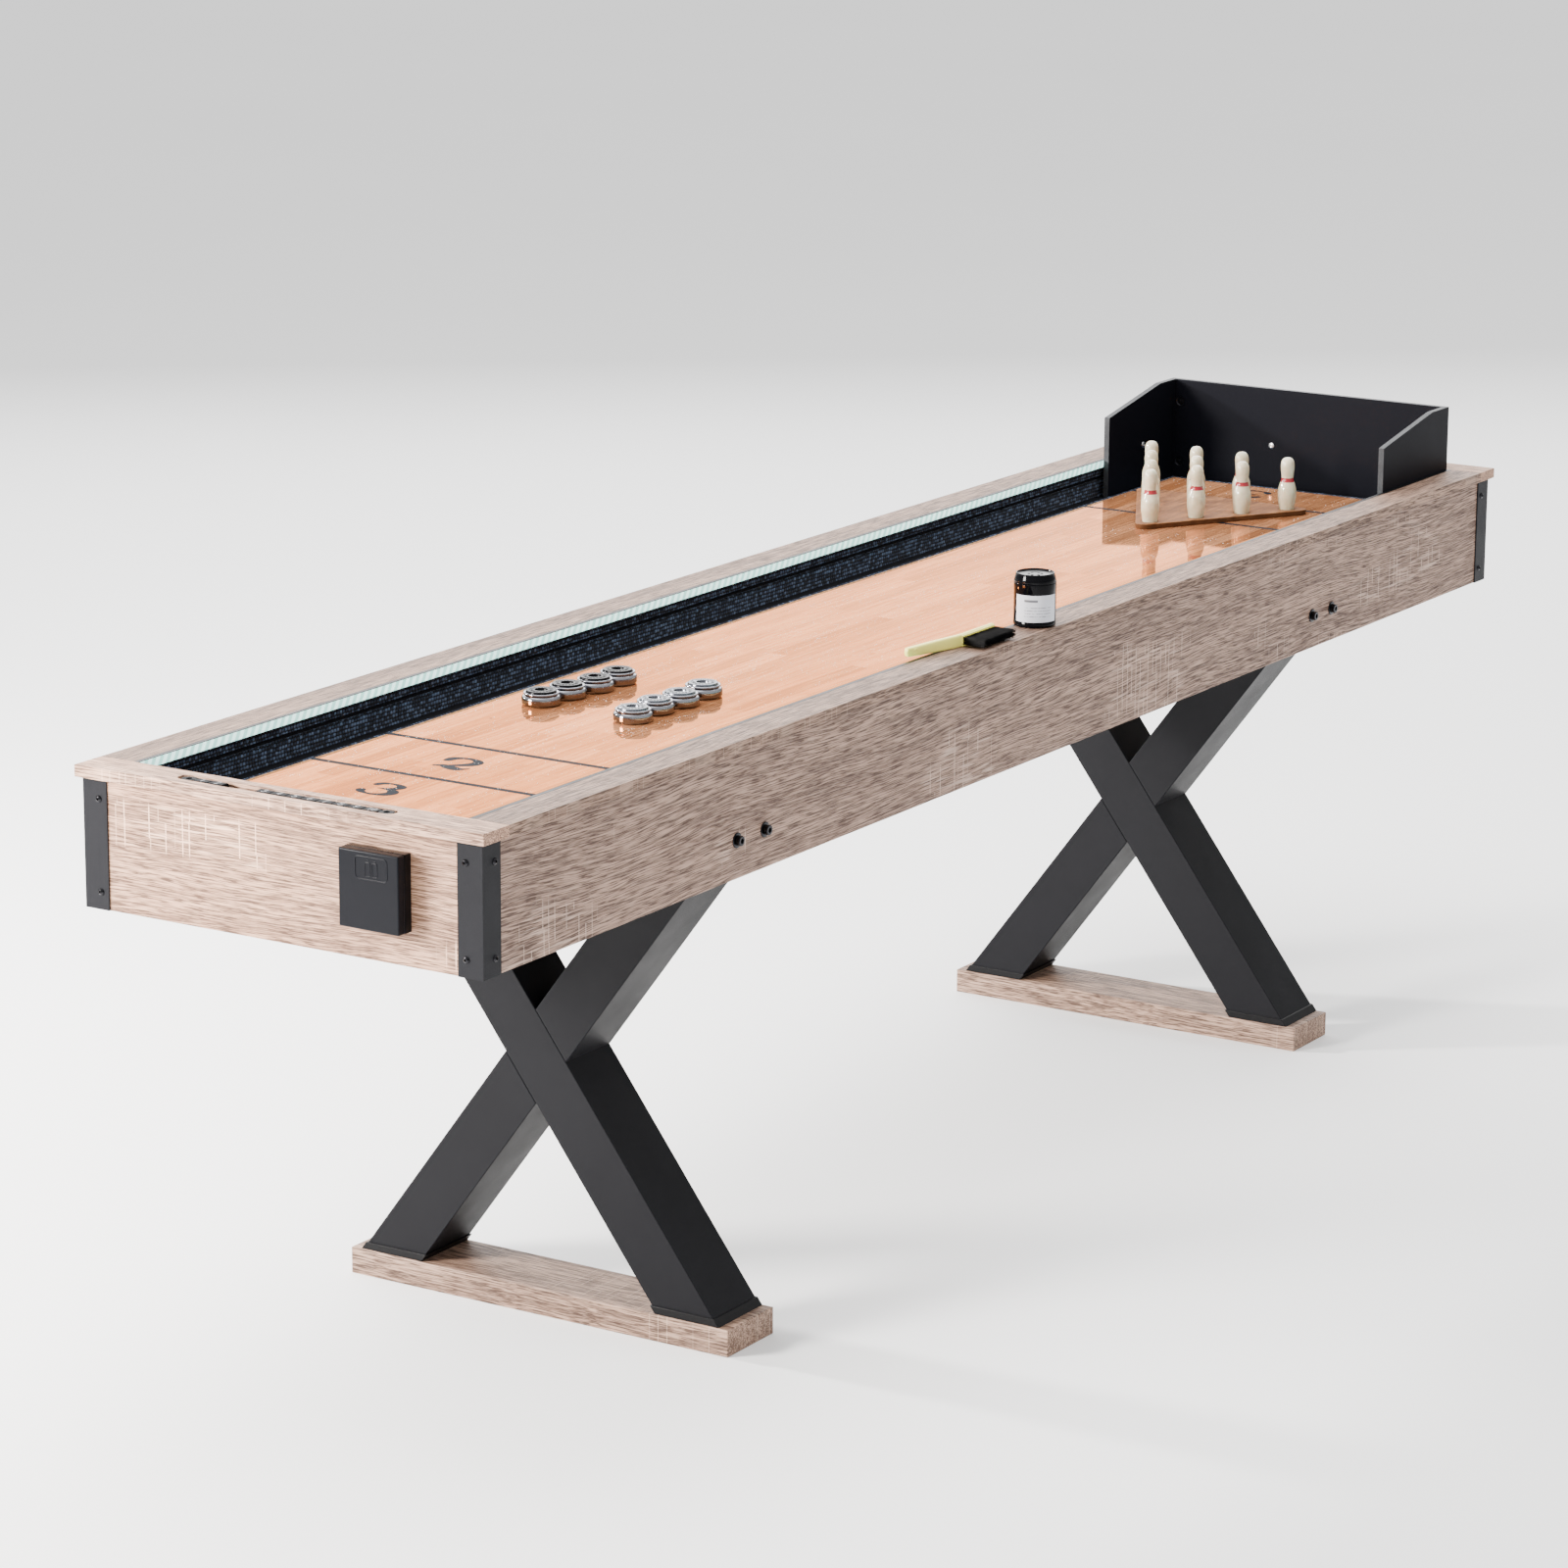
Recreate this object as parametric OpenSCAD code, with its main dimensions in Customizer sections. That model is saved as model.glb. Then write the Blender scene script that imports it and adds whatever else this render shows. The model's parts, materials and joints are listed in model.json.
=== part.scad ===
// Shuffleboard table on two X legs, with its scorer, lights, pucks, bowling pins and backstop.
// Millimetres. The origin is on the floor under the middle of the table. +X runs from the scorer
// end to the backstop end, +Y is the left long side seen from the scorer end, and +Z is up.

/* [Cabinet] */
// Length over the rails
table_l = 2743; // [2700:1:2800]
// Width over the rails
table_w = 604; // [590:1:620]
// Height of the rail tops above the floor
table_h = 800; // [760:1:840]
// Thickness of the cabinet boards
board_t = 15; // [12:1:15]
// Height of the apron boards
apron_h = 163; // [150:1:180]
// How far the rails stand out over the aprons
rail_overhang = 9; // [9:1:12]
// Width of each rail's top
rail_w = 51; // [51:1:56]

/* [Playfield and gutters] */
// Length of the playfield board
field_l = 2395; // [2300:1:2395]
// Width of the playfield board
field_w = 340; // [320:1:340]
// Thickness of the playfield board
field_t = 26; // [22:1:28]
// Drop from the rail tops to the playfield
field_drop = 34; // [30:1:38]
// Shift of the playfield's middle from the table's middle
field_shift = -17.5; // [-18:0.5:0]
// Thickness of the panel under the playfield
base_t = 12; // [9:1:12]
// Thickness of the gutter floor carpet
carpet_t = 2; // [1:0.5:3]

/* [Legs] */
// Distance from the table's middle to each leg's middle
leg_x = 790; // [700:1:850]
// Width of a leg beam across its length
beam_w = 75; // [60:1:80]
// Depth of a leg beam along the table
beam_d = 100; // [90:1:100]
// Height of the beams' crossing above the floor
cross_z = 347; // [330:1:350]
// Sideways run of a beam for each millimetre of its height
beam_run = 0.7462; // [0.7:0.01:0.75]
// Length of a floor board across the table
foot_board_l = 592; // [592:1:600]
// Depth of a floor board along the table
foot_board_d = 108; // [108:1:120]
// Thickness of a floor board
foot_board_t = 36; // [30:1:40]

/* [Scorer] */
// Width of the scorer slot
slot_w = 22; // [22:0.5:24]
// Overall length of the scorer slot
slot_l = 321; // [321:1:330]
// Depth of the scorer slot
slot_depth = 12; // [12:0.5:13]
// Diameter of the scorer rod
rod_d = 4; // [3:0.5:5]
// Distance from one bead to the next
bead_pitch = 22.5; // [22:0.1:22.5]
// Beads in the short row
left_beads = 2; // [1:1:2]
// Beads in the long row
right_beads = 8; // [6:1:8]

/* [Lights and battery box] */
// Depth of a light channel from the rail's edge
channel_d = 6; // [6:1:8]
// Height of a light channel
channel_h = 12.5; // [11:0.5:16]
// Width of the battery box
box_w = 87; // [80:1:90]
// Height of the battery box
box_h = 95; // [90:1:100]
// Depth of the battery box, case and cover together
box_d = 25; // [25:1:30]

/* [Backstop] */
// Thickness of the backstop panels
panel_t = 9; // [9:1:10]
// Width over the side panels
backstop_w = 489; // [480:1:490]
// Length of the side panels
backstop_l = 230; // [200:1:230]
// Height of the back panel's top above the floor
backstop_top = 900; // [880:1:920]
// Height of the side panels' front edge above the floor
backstop_front = 868; // [840:1:870]

/* [Bowling set] */
// Distance between neighbouring pins
pin_pitch = 80.5; // [80:0.5:84]
// Height of a pin
pin_h = 84; // [80:1:90]
// Largest diameter of a pin
pin_d = 28.5; // [26:0.5:30]
// Thickness of the pin rack
rack_t = 8; // [8:1:10]
// Turn of the rack on the playfield
rack_yaw = -2; // [-3:0.1:3]

/* [Pucks] */
// Diameter of a puck
puck_d = 51.5; // [50:0.5:52]
// Height of a puck
puck_h = 20; // [18:1:22]

/* [Hidden] */
$fn = 64;
rest_gap = 0.05;

pin_count = 10;
PUCK_NAMES = concat([for (i = [1:4]) str("puck_black_", i)], [for (i = [1:4]) str("puck_silver_", i)]);

// Cabinet heights and outlines
rail_bottom = table_h - board_t;
apron_bottom = rail_bottom - apron_h;
apron_l = table_l - 2 * rail_overhang;
apron_w = table_w - 2 * rail_overhang;
inside_l = apron_l - 2 * board_t;
inside_w = apron_w - 2 * board_t;
opening_l = table_l - 2 * rail_w;
opening_w = table_w - 2 * rail_w;
field_top = table_h - field_drop;
base_top = field_top - field_t;
field_near = field_shift - field_l / 2;
field_far = field_shift + field_l / 2;

// Corner brackets and their screws
bracket_t = 2;
bracket_leg = 36;
bracket_screw_in = 24;
bracket_screw_zs = [rail_bottom - 25, apron_bottom + 22];
screw_d = 4;
screw_l = 14;
screw_head_d = 9;
screw_head_h = 2.6;

// Leg bolts
bolt_d = 8;
bolt_l = 60;
bolt_half_pitch = 32;
bolt_z = apron_bottom + 49.5;
bolt_head_d = 13;
bolt_head_h = 6.5;
washer_d = 20;
washer_t = 1.6;
hole_slack = 0.2;

// Gutters
gutter_wall_in = 3;
wall_carpet_t = 3;
groove_w = 18;
carpet_joint = 1;
board_joint = 0.5;
wall_low_top = field_top + 2;
wall_high_bottom = rail_bottom - 12;

// Scorer
slot_x = -table_l / 2 + 25;
boss_d = 19;
boss_y = slot_l / 2 - 14.5;
boss_h = slot_depth - 1;
rod_z = table_h - 7;
bead_l = bead_pitch - 0.4;
bead_w = 17;
bead_top_w = 13;
bead_h = 10.6;
bead_shoulder_h = 7;
bead_top = table_h - 0.6;
bead_row_y = boss_y - boss_d / 2 - 0.3;
bead_bore_slack = 0.06;

// Battery box
box_y = -148.5;
box_z = 712.5;
box_case_d = 12;
box_wall = 2;
box_lip = 0.3;
cell_d = 14.5;
cell_l = 50.5;
cell_pitch = 16;
cell_count = 4;
rib_half_w = 34;

// Light strips
strip_z = table_h - channel_h;
strip_wall = 1;
diffuser_t = 1.5;

// Leg beams
beam_half = beam_w / 2 * sqrt(1 + beam_run * beam_run);
foot_cap_wall = 2;
foot_cap_h = 10;

// Backstop
backstop_back = opening_l / 2 - 2.5;
backstop_front_x = backstop_back - backstop_l;
backstop_flat_x = backstop_back - 60;
backstop_bottom = base_top + rest_gap;
cam_d = 15;
cam_depth = 7;
cam_in = 9.5;
cam_zs = [base_top + 26, base_top + 124.5];
plug_d = 10;
plug_h = 1.2;
plug_z = base_top + 68;
side_plug_x = backstop_back - 115;
back_plug_y = 60;

// Bowling set
rack_x = 804;
rack_y = 7.5;
rack_margin = 22;
rack_round = 14;
pocket_d = 24;
pocket_depth = 4;
row_step = pin_pitch * sqrt(3) / 2;
rack_bottom = field_top + rest_gap;
pin_base_d = 22;
pin_neck_d = 18.5;
pin_head_d = 21;
pin_belly_z = 28;
pin_neck_z = 50;
pin_head_z = pin_h - 14;
pin_steps = 4;

// Pucks: the middle of each one on the playfield
puck_row_step = puck_d + 0.7;
black_x = -681.1;
black_ys = [98.8, 94.2, 86.2, 85.4];
silver_xs = [-693.5, -637.7, -585.7, -527.6];
silver_ys = [-52.3, -48.8, -53.3, -50.6];
puck_recess_d = 40;
puck_recess_depth = 6;

// Brush, lying on its side on the right rail
brush_back = [-220, -255];
brush_back_l = 90;
brush_back_t = 7;
brush_h = 16.5;
brush_handle_end = [-316, -235];
brush_handle_t = 9;
bristle_l = 36;
bristle_h = 11;
bristle_inset = 2;

// Wax can, standing on the right rail
can_pos = [-41, -270];
can_d = 58;
can_top_d = 53;
can_h = 60;
can_wall = 2;
can_foot_r = 3;
lid_h = 13;
lid_t = 2.5;
lid_spigot_h = 5;

function signs() = [-1, 1];

// A box from its lowest corner to its highest corner
module span(low, high) {
    translate(low) cube(high - low);
}

// A cylinder along +Y from the given point
module rod_y(point, d, l) {
    translate(point) rotate([-90, 0, 0]) cylinder(d = d, h = l);
}

// A cylinder along +X from the given point
module rod_x(point, d, l) {
    translate(point) rotate([0, 90, 0]) cylinder(d = d, h = l);
}

// Cylinders along Y through a side apron at the leg bolts, side = 1 on the left and -1 on the right
module bolt_stack(side, d, from, l) {
    for (leg = signs(), s = signs())
        mirror([0, side < 0 ? 1 : 0, 0]) rod_y([leg * leg_x + s * bolt_half_pitch, from, bolt_z], d, l);
}

// Places its child at every bracket screw of the side faces, pointing out along +Y
module at_side_screws() {
    for (x = signs(), y = signs(), z = bracket_screw_zs)
        mirror([0, y < 0 ? 1 : 0, 0])
            translate([x * (apron_l / 2 + bracket_t - bracket_screw_in), apron_w / 2 + bracket_t, z])
                rotate([-90, 0, 0]) children();
}

// Places its child at every bracket screw of the end faces, pointing out along +X
module at_end_screws() {
    for (x = signs(), y = signs(), z = bracket_screw_zs)
        mirror([x < 0 ? 1 : 0, 0, 0])
            translate([apron_l / 2 + bracket_t, y * (apron_w / 2 + bracket_t - bracket_screw_in), z])
                rotate([0, 90, 0]) children();
}

module screw_hole() {
    translate([0, 0, -screw_l - bracket_t]) cylinder(d = screw_d + hole_slack, h = screw_l + 2 * bracket_t);
}

// Cabinet boards

module side_apron(side) {
    y = side * (apron_w - board_t) / 2;
    difference() {
        translate([0, y, apron_bottom + apron_h / 2]) cube([apron_l, board_t, apron_h], center = true);
        bolt_stack(side, bolt_d + hole_slack, inside_w / 2 - 1, board_t + 2);
        at_side_screws() screw_hole();
    }
}

module end_apron(end) {
    x = end * (apron_l - board_t) / 2;
    difference() {
        translate([x, 0, apron_bottom + apron_h / 2]) cube([board_t, inside_w, apron_h], center = true);
        at_end_screws() screw_hole();
    }
}

module apron_left() { color("tan") side_apron(1); }
module apron_right() { color("tan") side_apron(-1); }
module apron_near() { color("tan") end_apron(-1); }
module apron_far() { color("tan") end_apron(1); }

module side_rail(side) {
    translate([0, side * (table_w - rail_w) / 2, rail_bottom + board_t / 2])
        cube([opening_l, rail_w, board_t], center = true);
}

module end_rail(end) {
    translate([end * (table_l - rail_w) / 2, 0, rail_bottom + board_t / 2])
        cube([rail_w, table_w, board_t], center = true);
}

// A stadium-shaped cutter along Y for the scorer slot
module slot_cutter() {
    translate([slot_x, 0, table_h - slot_depth]) {
        for (y = signs())
            translate([0, y * (slot_l - slot_w) / 2, 0]) cylinder(d = slot_w, h = slot_depth + 1);
        translate([-slot_w / 2, -(slot_l - slot_w) / 2, 0]) cube([slot_w, slot_l - slot_w, slot_depth + 1]);
    }
}

module rail_left() { color("tan") side_rail(1); }
module rail_right() { color("tan") side_rail(-1); }
module rail_far() { color("tan") end_rail(1); }
module rail_near() {
    color("tan") difference() {
        end_rail(-1);
        slot_cutter();
    }
}

// The playfield board, with its two long top edges eased
module playfield() {
    edge = 3;
    half = field_w / 2;
    color("burlywood") translate([field_near, 0, base_top]) rotate([90, 0, 90]) linear_extrude(field_l)
        polygon([[-half, 0], [half, 0], [half, field_t - edge], [half - edge, field_t],
                 [edge - half, field_t], [-half, field_t - edge]]);
}

module base_panel() {
    color("dimgray") translate([0, 0, base_top - base_t / 2])
        cube([inside_l, inside_w, base_t], center = true);
}

// Places its child on the left side and mirrored on the right
module both_sides() {
    for (s = signs()) mirror([0, s < 0 ? 1 : 0, 0]) children();
}

// Places its child at the far end and mirrored at the near end
module both_ends() {
    for (s = signs()) mirror([s < 0 ? 1 : 0, 0, 0]) children();
}

// Boards that carry the rails and back the gutter walls
module gutter_liners() {
    face_y = opening_w / 2 + gutter_wall_in + wall_carpet_t;
    face_x = opening_l / 2 + gutter_wall_in + wall_carpet_t;
    color("dimgray") {
        both_sides() span([-inside_l / 2, face_y, base_top], [inside_l / 2, inside_w / 2, rail_bottom]);
        both_ends() span([face_x, board_joint - face_y, base_top],
                         [inside_l / 2, face_y - board_joint, rail_bottom]);
    }
}

// Carpet on the gutter floors, and two strips with a crease between them on each gutter wall
module gutter_carpet() {
    x_end = opening_l / 2 - groove_w;
    y_side = opening_w / 2 - groove_w;
    wall_y = opening_w / 2 + gutter_wall_in;
    wall_x = opening_l / 2 + gutter_wall_in;
    strips = [[base_top, wall_low_top], [wall_high_bottom, rail_bottom]];
    color("midnightblue") {
        both_sides() {
            span([-x_end, field_w / 2 + carpet_joint, base_top], [x_end, y_side, base_top + carpet_t]);
            for (z = strips)
                span([-wall_x, wall_y, z[0]], [wall_x, wall_y + wall_carpet_t, z[1]]);
        }
        span([-x_end, -field_w / 2, base_top],
             [field_near - carpet_joint, field_w / 2, base_top + carpet_t]);
        span([field_far + carpet_joint, -field_w / 2, base_top],
             [x_end, field_w / 2, base_top + carpet_t]);
        both_ends() for (z = strips)
            span([wall_x, -wall_y, z[0]], [wall_x + wall_carpet_t, wall_y, z[1]]);
    }
}

// Corner hardware

module corner_brackets() {
    x_out = apron_l / 2 + bracket_t;
    y_out = apron_w / 2 + bracket_t;
    color("#2b2c2e") difference() {
        for (x = signs(), y = signs()) mirror([x < 0 ? 1 : 0, 0, 0]) mirror([0, y < 0 ? 1 : 0, 0])
            difference() {
                span([x_out - bracket_leg, y_out - bracket_leg, apron_bottom], [x_out, y_out, rail_bottom]);
                span([x_out - bracket_leg - 1, y_out - bracket_leg - 1, apron_bottom - 1],
                     [x_out - bracket_t, y_out - bracket_t, rail_bottom + 1]);
            }
        at_side_screws() screw_hole();
        at_end_screws() screw_hole();
    }
}

// A domed screw, its head standing on the plane z = 0
module dome_screw() {
    dome_r = (screw_head_d * screw_head_d / 4 + screw_head_h * screw_head_h) / (2 * screw_head_h);
    rotate_extrude() {
        translate([0, -screw_l]) square([screw_d / 2, screw_l]);
        intersection() {
            translate([0, screw_head_h - dome_r]) circle(r = dome_r);
            square([screw_head_d / 2, screw_head_h]);
        }
    }
}

module bracket_screws() {
    color("#1d1d1f") {
        at_side_screws() dome_screw();
        at_end_screws() dome_screw();
    }
}

// Light strips: a channel along each long rail's inner edge, closed by a diffuser

module led_channels() {
    y_back = opening_w / 2;
    color("#18191b") both_sides() difference() {
        span([-opening_l / 2, y_back - channel_d, strip_z], [opening_l / 2, y_back, strip_z + channel_h]);
        span([-opening_l / 2 - 1, y_back - channel_d - 1, strip_z + strip_wall],
             [opening_l / 2 + 1, y_back - strip_wall, strip_z + channel_h - strip_wall]);
    }
}

module led_diffusers() {
    y_front = opening_w / 2 - channel_d;
    color("#c9f2e4") both_sides()
        span([-opening_l / 2, y_front, strip_z + strip_wall],
             [opening_l / 2, y_front + diffuser_t, strip_z + channel_h - strip_wall]);
}

// Battery box on the near apron

// A tray of the given depth with its floor towards +X and its mouth at x = 0 facing -X
module tray(depth) {
    difference() {
        span([0, -box_w / 2, -box_h / 2], [depth, box_w / 2, box_h / 2]);
        span([-1, -box_w / 2 + box_wall, -box_h / 2 + box_wall],
             [depth - box_wall, box_w / 2 - box_wall, box_h / 2 - box_wall]);
    }
}

// The case, with a rib across it at each end of the cells
module battery_case() {
    color("#141416") translate([-apron_l / 2 - box_case_d, box_y, box_z]) {
        tray(box_case_d);
        for (s = signs()) mirror([0, 0, s < 0 ? 1 : 0])
            span([2, -rib_half_w, cell_l / 2], [box_case_d - box_wall, rib_half_w, cell_l / 2 + box_wall]);
    }
}

module battery_cover() {
    color("#1a1b1e") translate([-apron_l / 2 - box_case_d - box_lip, box_y, box_z])
        mirror([1, 0, 0]) tray(box_d - box_case_d - box_lip);
}

module battery_cells() {
    nub_d = 5.5;
    nub_h = 1.5;
    color("silver") for (i = [0:cell_count - 1]) {
        y = box_y + (i - (cell_count - 1) / 2) * cell_pitch;
        up = i % 2 == 0 ? 0 : 1;
        translate([-apron_l / 2 - box_wall - cell_d / 2, y, box_z]) mirror([0, 0, up]) {
            translate([0, 0, -cell_l / 2]) cylinder(d = cell_d, h = cell_l - nub_h);
            translate([0, 0, cell_l / 2 - nub_h]) cylinder(d = nub_d, h = nub_h);
        }
    }
}

// Scorer

module score_rod() {
    color("silver") rod_y([slot_x, -boss_y, rod_z], rod_d, 2 * boss_y);
}

module score_rod_bosses() {
    eye_d = 8;
    eye_depth = 3;
    color("#1c1d20") for (s = signs()) difference() {
        translate([slot_x, s * boss_y, table_h - slot_depth]) cylinder(d = boss_d, h = boss_h);
        translate([slot_x, s * boss_y, table_h - slot_depth + boss_h - eye_depth])
            cylinder(d = eye_d, h = eye_depth + 1);
        rod_y([slot_x, -boss_y, rod_z], rod_d + 0.04, 2 * boss_y);
    }
}

// One bead, a bored block with sloping shoulders, from y = 0 to y = bead_l
module bead() {
    difference() {
        translate([slot_x, bead_l, bead_top - bead_h]) rotate([90, 0, 0]) linear_extrude(bead_l)
            polygon([[-bead_w / 2, 0], [bead_w / 2, 0], [bead_w / 2, bead_shoulder_h],
                     [bead_top_w / 2, bead_h], [-bead_top_w / 2, bead_h], [-bead_w / 2, bead_shoulder_h]]);
        rod_y([slot_x, -1, rod_z], rod_d + 2 * bead_bore_slack, bead_l + 2);
    }
}

module score_beads_left() {
    color("#222326") for (i = [0:left_beads - 1])
        translate([0, bead_row_y - bead_l - i * bead_pitch, 0]) bead();
}

module score_beads_right() {
    color("#222326") for (i = [0:right_beads - 1])
        translate([0, -bead_row_y + i * bead_pitch, 0]) bead();
}

// Legs: end = -1 at the scorer end and 1 at the backstop end

// Extrudes an outline in (y, z) along the leg's depth
module leg_prism(end, depth) {
    translate([end * leg_x - depth / 2, 0, 0]) rotate([90, 0, 90]) linear_extrude(depth) children();
}

// Outline of a slanted beam between two heights, where lean is 1 for the long beam and -1 for the other
module beam_outline(lean, z_low, z_high, extra = 0) {
    half = beam_half + extra;
    y_low = lean * beam_run * (z_low - cross_z);
    y_high = lean * beam_run * (z_high - cross_z);
    polygon([[y_low - half, z_low], [y_low + half, z_low],
             [y_high + half, z_high], [y_high - half, z_high]]);
}

module long_beam(end) {
    leg_prism(end, beam_d) beam_outline(1, foot_board_t, apron_bottom);
}

module half_beams(end) {
    leg_prism(end, beam_d) difference() {
        beam_outline(-1, foot_board_t, apron_bottom);
        beam_outline(1, foot_board_t - 1, apron_bottom + 1);
    }
}

module leg_top_rail(end) {
    top = base_top - base_t;
    half_l = inside_w / 2 - 0.5;
    difference() {
        span([end * leg_x - beam_d / 2, -half_l, apron_bottom], [end * leg_x + beam_d / 2, half_l, top]);
        for (side = signs()) bolt_stack(side, bolt_d + hole_slack, inside_w / 2 - bolt_l, bolt_l + 1);
    }
}

module floor_board(end) {
    span([end * leg_x - foot_board_d / 2, -foot_board_l / 2, 0],
         [end * leg_x + foot_board_d / 2, foot_board_l / 2, foot_board_t]);
}

module near_leg_long_beam() { color("#2f3033") long_beam(-1); }
module near_leg_half_beams() { color("#2f3033") half_beams(-1); }
module near_leg_top_rail() { color("#2f3033") leg_top_rail(-1); }
module near_leg_floor_board() { color("tan") floor_board(-1); }
module far_leg_long_beam() { color("#2f3033") long_beam(1); }
module far_leg_half_beams() { color("#2f3033") half_beams(1); }
module far_leg_top_rail() { color("#2f3033") leg_top_rail(1); }
module far_leg_floor_board() { color("tan") floor_board(1); }

// Sleeves round the beams' feet
module leg_foot_caps() {
    z_high = foot_board_t + foot_cap_h;
    color("#1a1a1c") for (end = signs(), lean = signs()) difference() {
        leg_prism(end, beam_d + 2 * foot_cap_wall) beam_outline(lean, foot_board_t, z_high, foot_cap_wall);
        leg_prism(end, beam_d) beam_outline(lean, foot_board_t - 1, z_high + 1);
    }
}

module leg_bolts() {
    face = apron_w / 2;
    color("#19191b") for (side = signs()) {
        bolt_stack(side, bolt_d, face - bolt_l, bolt_l);
        bolt_stack(side, washer_d, face, washer_t);
        difference() {
            bolt_stack(side, bolt_head_d, face + washer_t, bolt_head_h);
            bolt_stack(side, 6, face + washer_t + bolt_head_h - 4, 5);
        }
    }
}

// Backstop

module side_panel(side) {
    y_out = backstop_w / 2;
    mirror([0, side < 0 ? 1 : 0, 0]) difference() {
        translate([0, y_out, 0]) rotate([90, 0, 0]) linear_extrude(panel_t)
            polygon([[backstop_front_x, backstop_bottom], [backstop_back, backstop_bottom],
                     [backstop_back, backstop_top], [backstop_flat_x, backstop_top],
                     [backstop_front_x, backstop_front]]);
        rod_y([side_plug_x, y_out - panel_t - 1, plug_z], 4, 5);
    }
}

module backstop_left_panel() { color("#1b1c1e") side_panel(1); }
module backstop_right_panel() { color("#1b1c1e") side_panel(-1); }

module backstop_back_panel() {
    half = backstop_w / 2 - panel_t;
    color("#1b1c1e") difference() {
        span([backstop_back - panel_t, -half, backstop_bottom], [backstop_back, half, backstop_top]);
        for (s = signs(), z = cam_zs)
            rod_x([backstop_back - panel_t - 1, s * (half - cam_in), z], cam_d + hole_slack, cam_depth + 1);
        rod_x([backstop_back - panel_t - 1, back_plug_y, plug_z], 4, 5);
    }
}

// Cam locks in the back panel, and plugged screws in the inner faces
module backstop_fittings() {
    half = backstop_w / 2 - panel_t;
    color("lightgray") {
        for (s = signs(), z = cam_zs)
            rod_x([backstop_back - panel_t + 0.5, s * (half - cam_in), z], cam_d, cam_depth - 0.5);
        both_sides() {
            rod_y([side_plug_x, half - plug_h, plug_z], plug_d, plug_h);
            rod_y([side_plug_x, half, plug_z], 3.8, 3.8);
        }
        rod_x([backstop_back - panel_t - plug_h, back_plug_y, plug_z], plug_d, plug_h);
        rod_x([backstop_back - panel_t, back_plug_y, plug_z], 3.8, 3.8);
    }
}

// Bowling set

// Middle of each pin, the head pin first, in the rack's own frame
pin_spots = [for (row = [0:3], i = [0:row]) [row * row_step, (i - row / 2) * pin_pitch]];

// Places its child on the playfield, turned with the rack
module at_rack() {
    translate([rack_x, rack_y, rack_bottom]) rotate([0, 0, rack_yaw]) children();
}

// Outline of the rack: a triangle round the pins with round corners
module rack_outline() {
    reach = 2 * (rack_margin - rack_round);
    row = 3 * row_step;
    half_row = 1.5 * pin_pitch;
    corners = [[-reach, 0], [row + reach / 2, -half_row - reach * sqrt(3) / 2],
               [row + reach / 2, half_row + reach * sqrt(3) / 2]];
    corner_starts = [120, 240, 360];
    polygon([for (i = [0:2], a = [corner_starts[i]:10:corner_starts[i] + 120])
        corners[i] + rack_round * [cos(a), sin(a)]]);
}

module pin_rack() {
    color("saddlebrown") at_rack() difference() {
        linear_extrude(rack_t) rack_outline();
        for (p = pin_spots) translate([p[0], p[1], rack_t - pocket_depth])
            cylinder(d = pocket_d, h = pocket_depth + 1);
    }
}

// Radius of a pin at each of its stations, eased between them with a cosine
pin_stations = [[0, pin_base_d / 2], [pin_belly_z, pin_d / 2], [pin_neck_z, pin_neck_d / 2],
                [pin_head_z, pin_head_d / 2]];
function eased(a, b, t) = a + (b - a) * (1 - cos(180 * t)) / 2;
pin_side = [for (i = [0:2], k = [0:pin_steps - 1])
    let (a = pin_stations[i], b = pin_stations[i + 1], t = k / pin_steps)
    [eased(a[1], b[1], t), a[0] + (b[0] - a[0]) * t]];
// The head is closed by a quarter of an oval
pin_crown = [for (k = [0:5]) let (t = 90 * k / 5)
    [pin_head_d / 2 * cos(t), pin_head_z + (pin_h - pin_head_z) * sin(t)]];

module pin(i) {
    spot = pin_spots[i - 1];
    color("ivory") at_rack() translate([spot[0], spot[1], rack_t - pocket_depth + rest_gap])
        rotate_extrude() polygon(concat([[0, 0]], pin_side, pin_crown));
}

// Pucks: i = 1 to 4 are black and 5 to 8 are silver

function puck_spot(i) = i <= 4 ? [black_x + (i - 1) * puck_row_step, black_ys[i - 1]]
                               : [silver_xs[i - 5], silver_ys[i - 5]];

// Steel weight with a waist, and a plastic cap in its top recess
module puck(i) {
    r = puck_d / 2;
    bevel = 2;
    spot = puck_spot(i);
    color(i <= 4 ? "#202022" : "silver") translate([spot[0], spot[1], field_top + rest_gap]) {
        rotate_extrude() difference() {
            polygon([[0, 0], [r - bevel, 0], [r, bevel], [r, puck_h - bevel],
                     [r - bevel, puck_h], [0, puck_h]]);
            translate([0, puck_h - puck_recess_depth]) square([puck_recess_d / 2, puck_recess_depth + 1]);
        }
        translate([0, 0, puck_h - puck_recess_depth]) difference() {
            cylinder(d = puck_recess_d - 0.1, h = puck_recess_depth - 1);
            translate([0, 0, 2]) cylinder(d = 14, h = puck_recess_depth);
        }
    }
}

// Brush: the handle and its back are one moulding, and the bristles are set in the back

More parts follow.
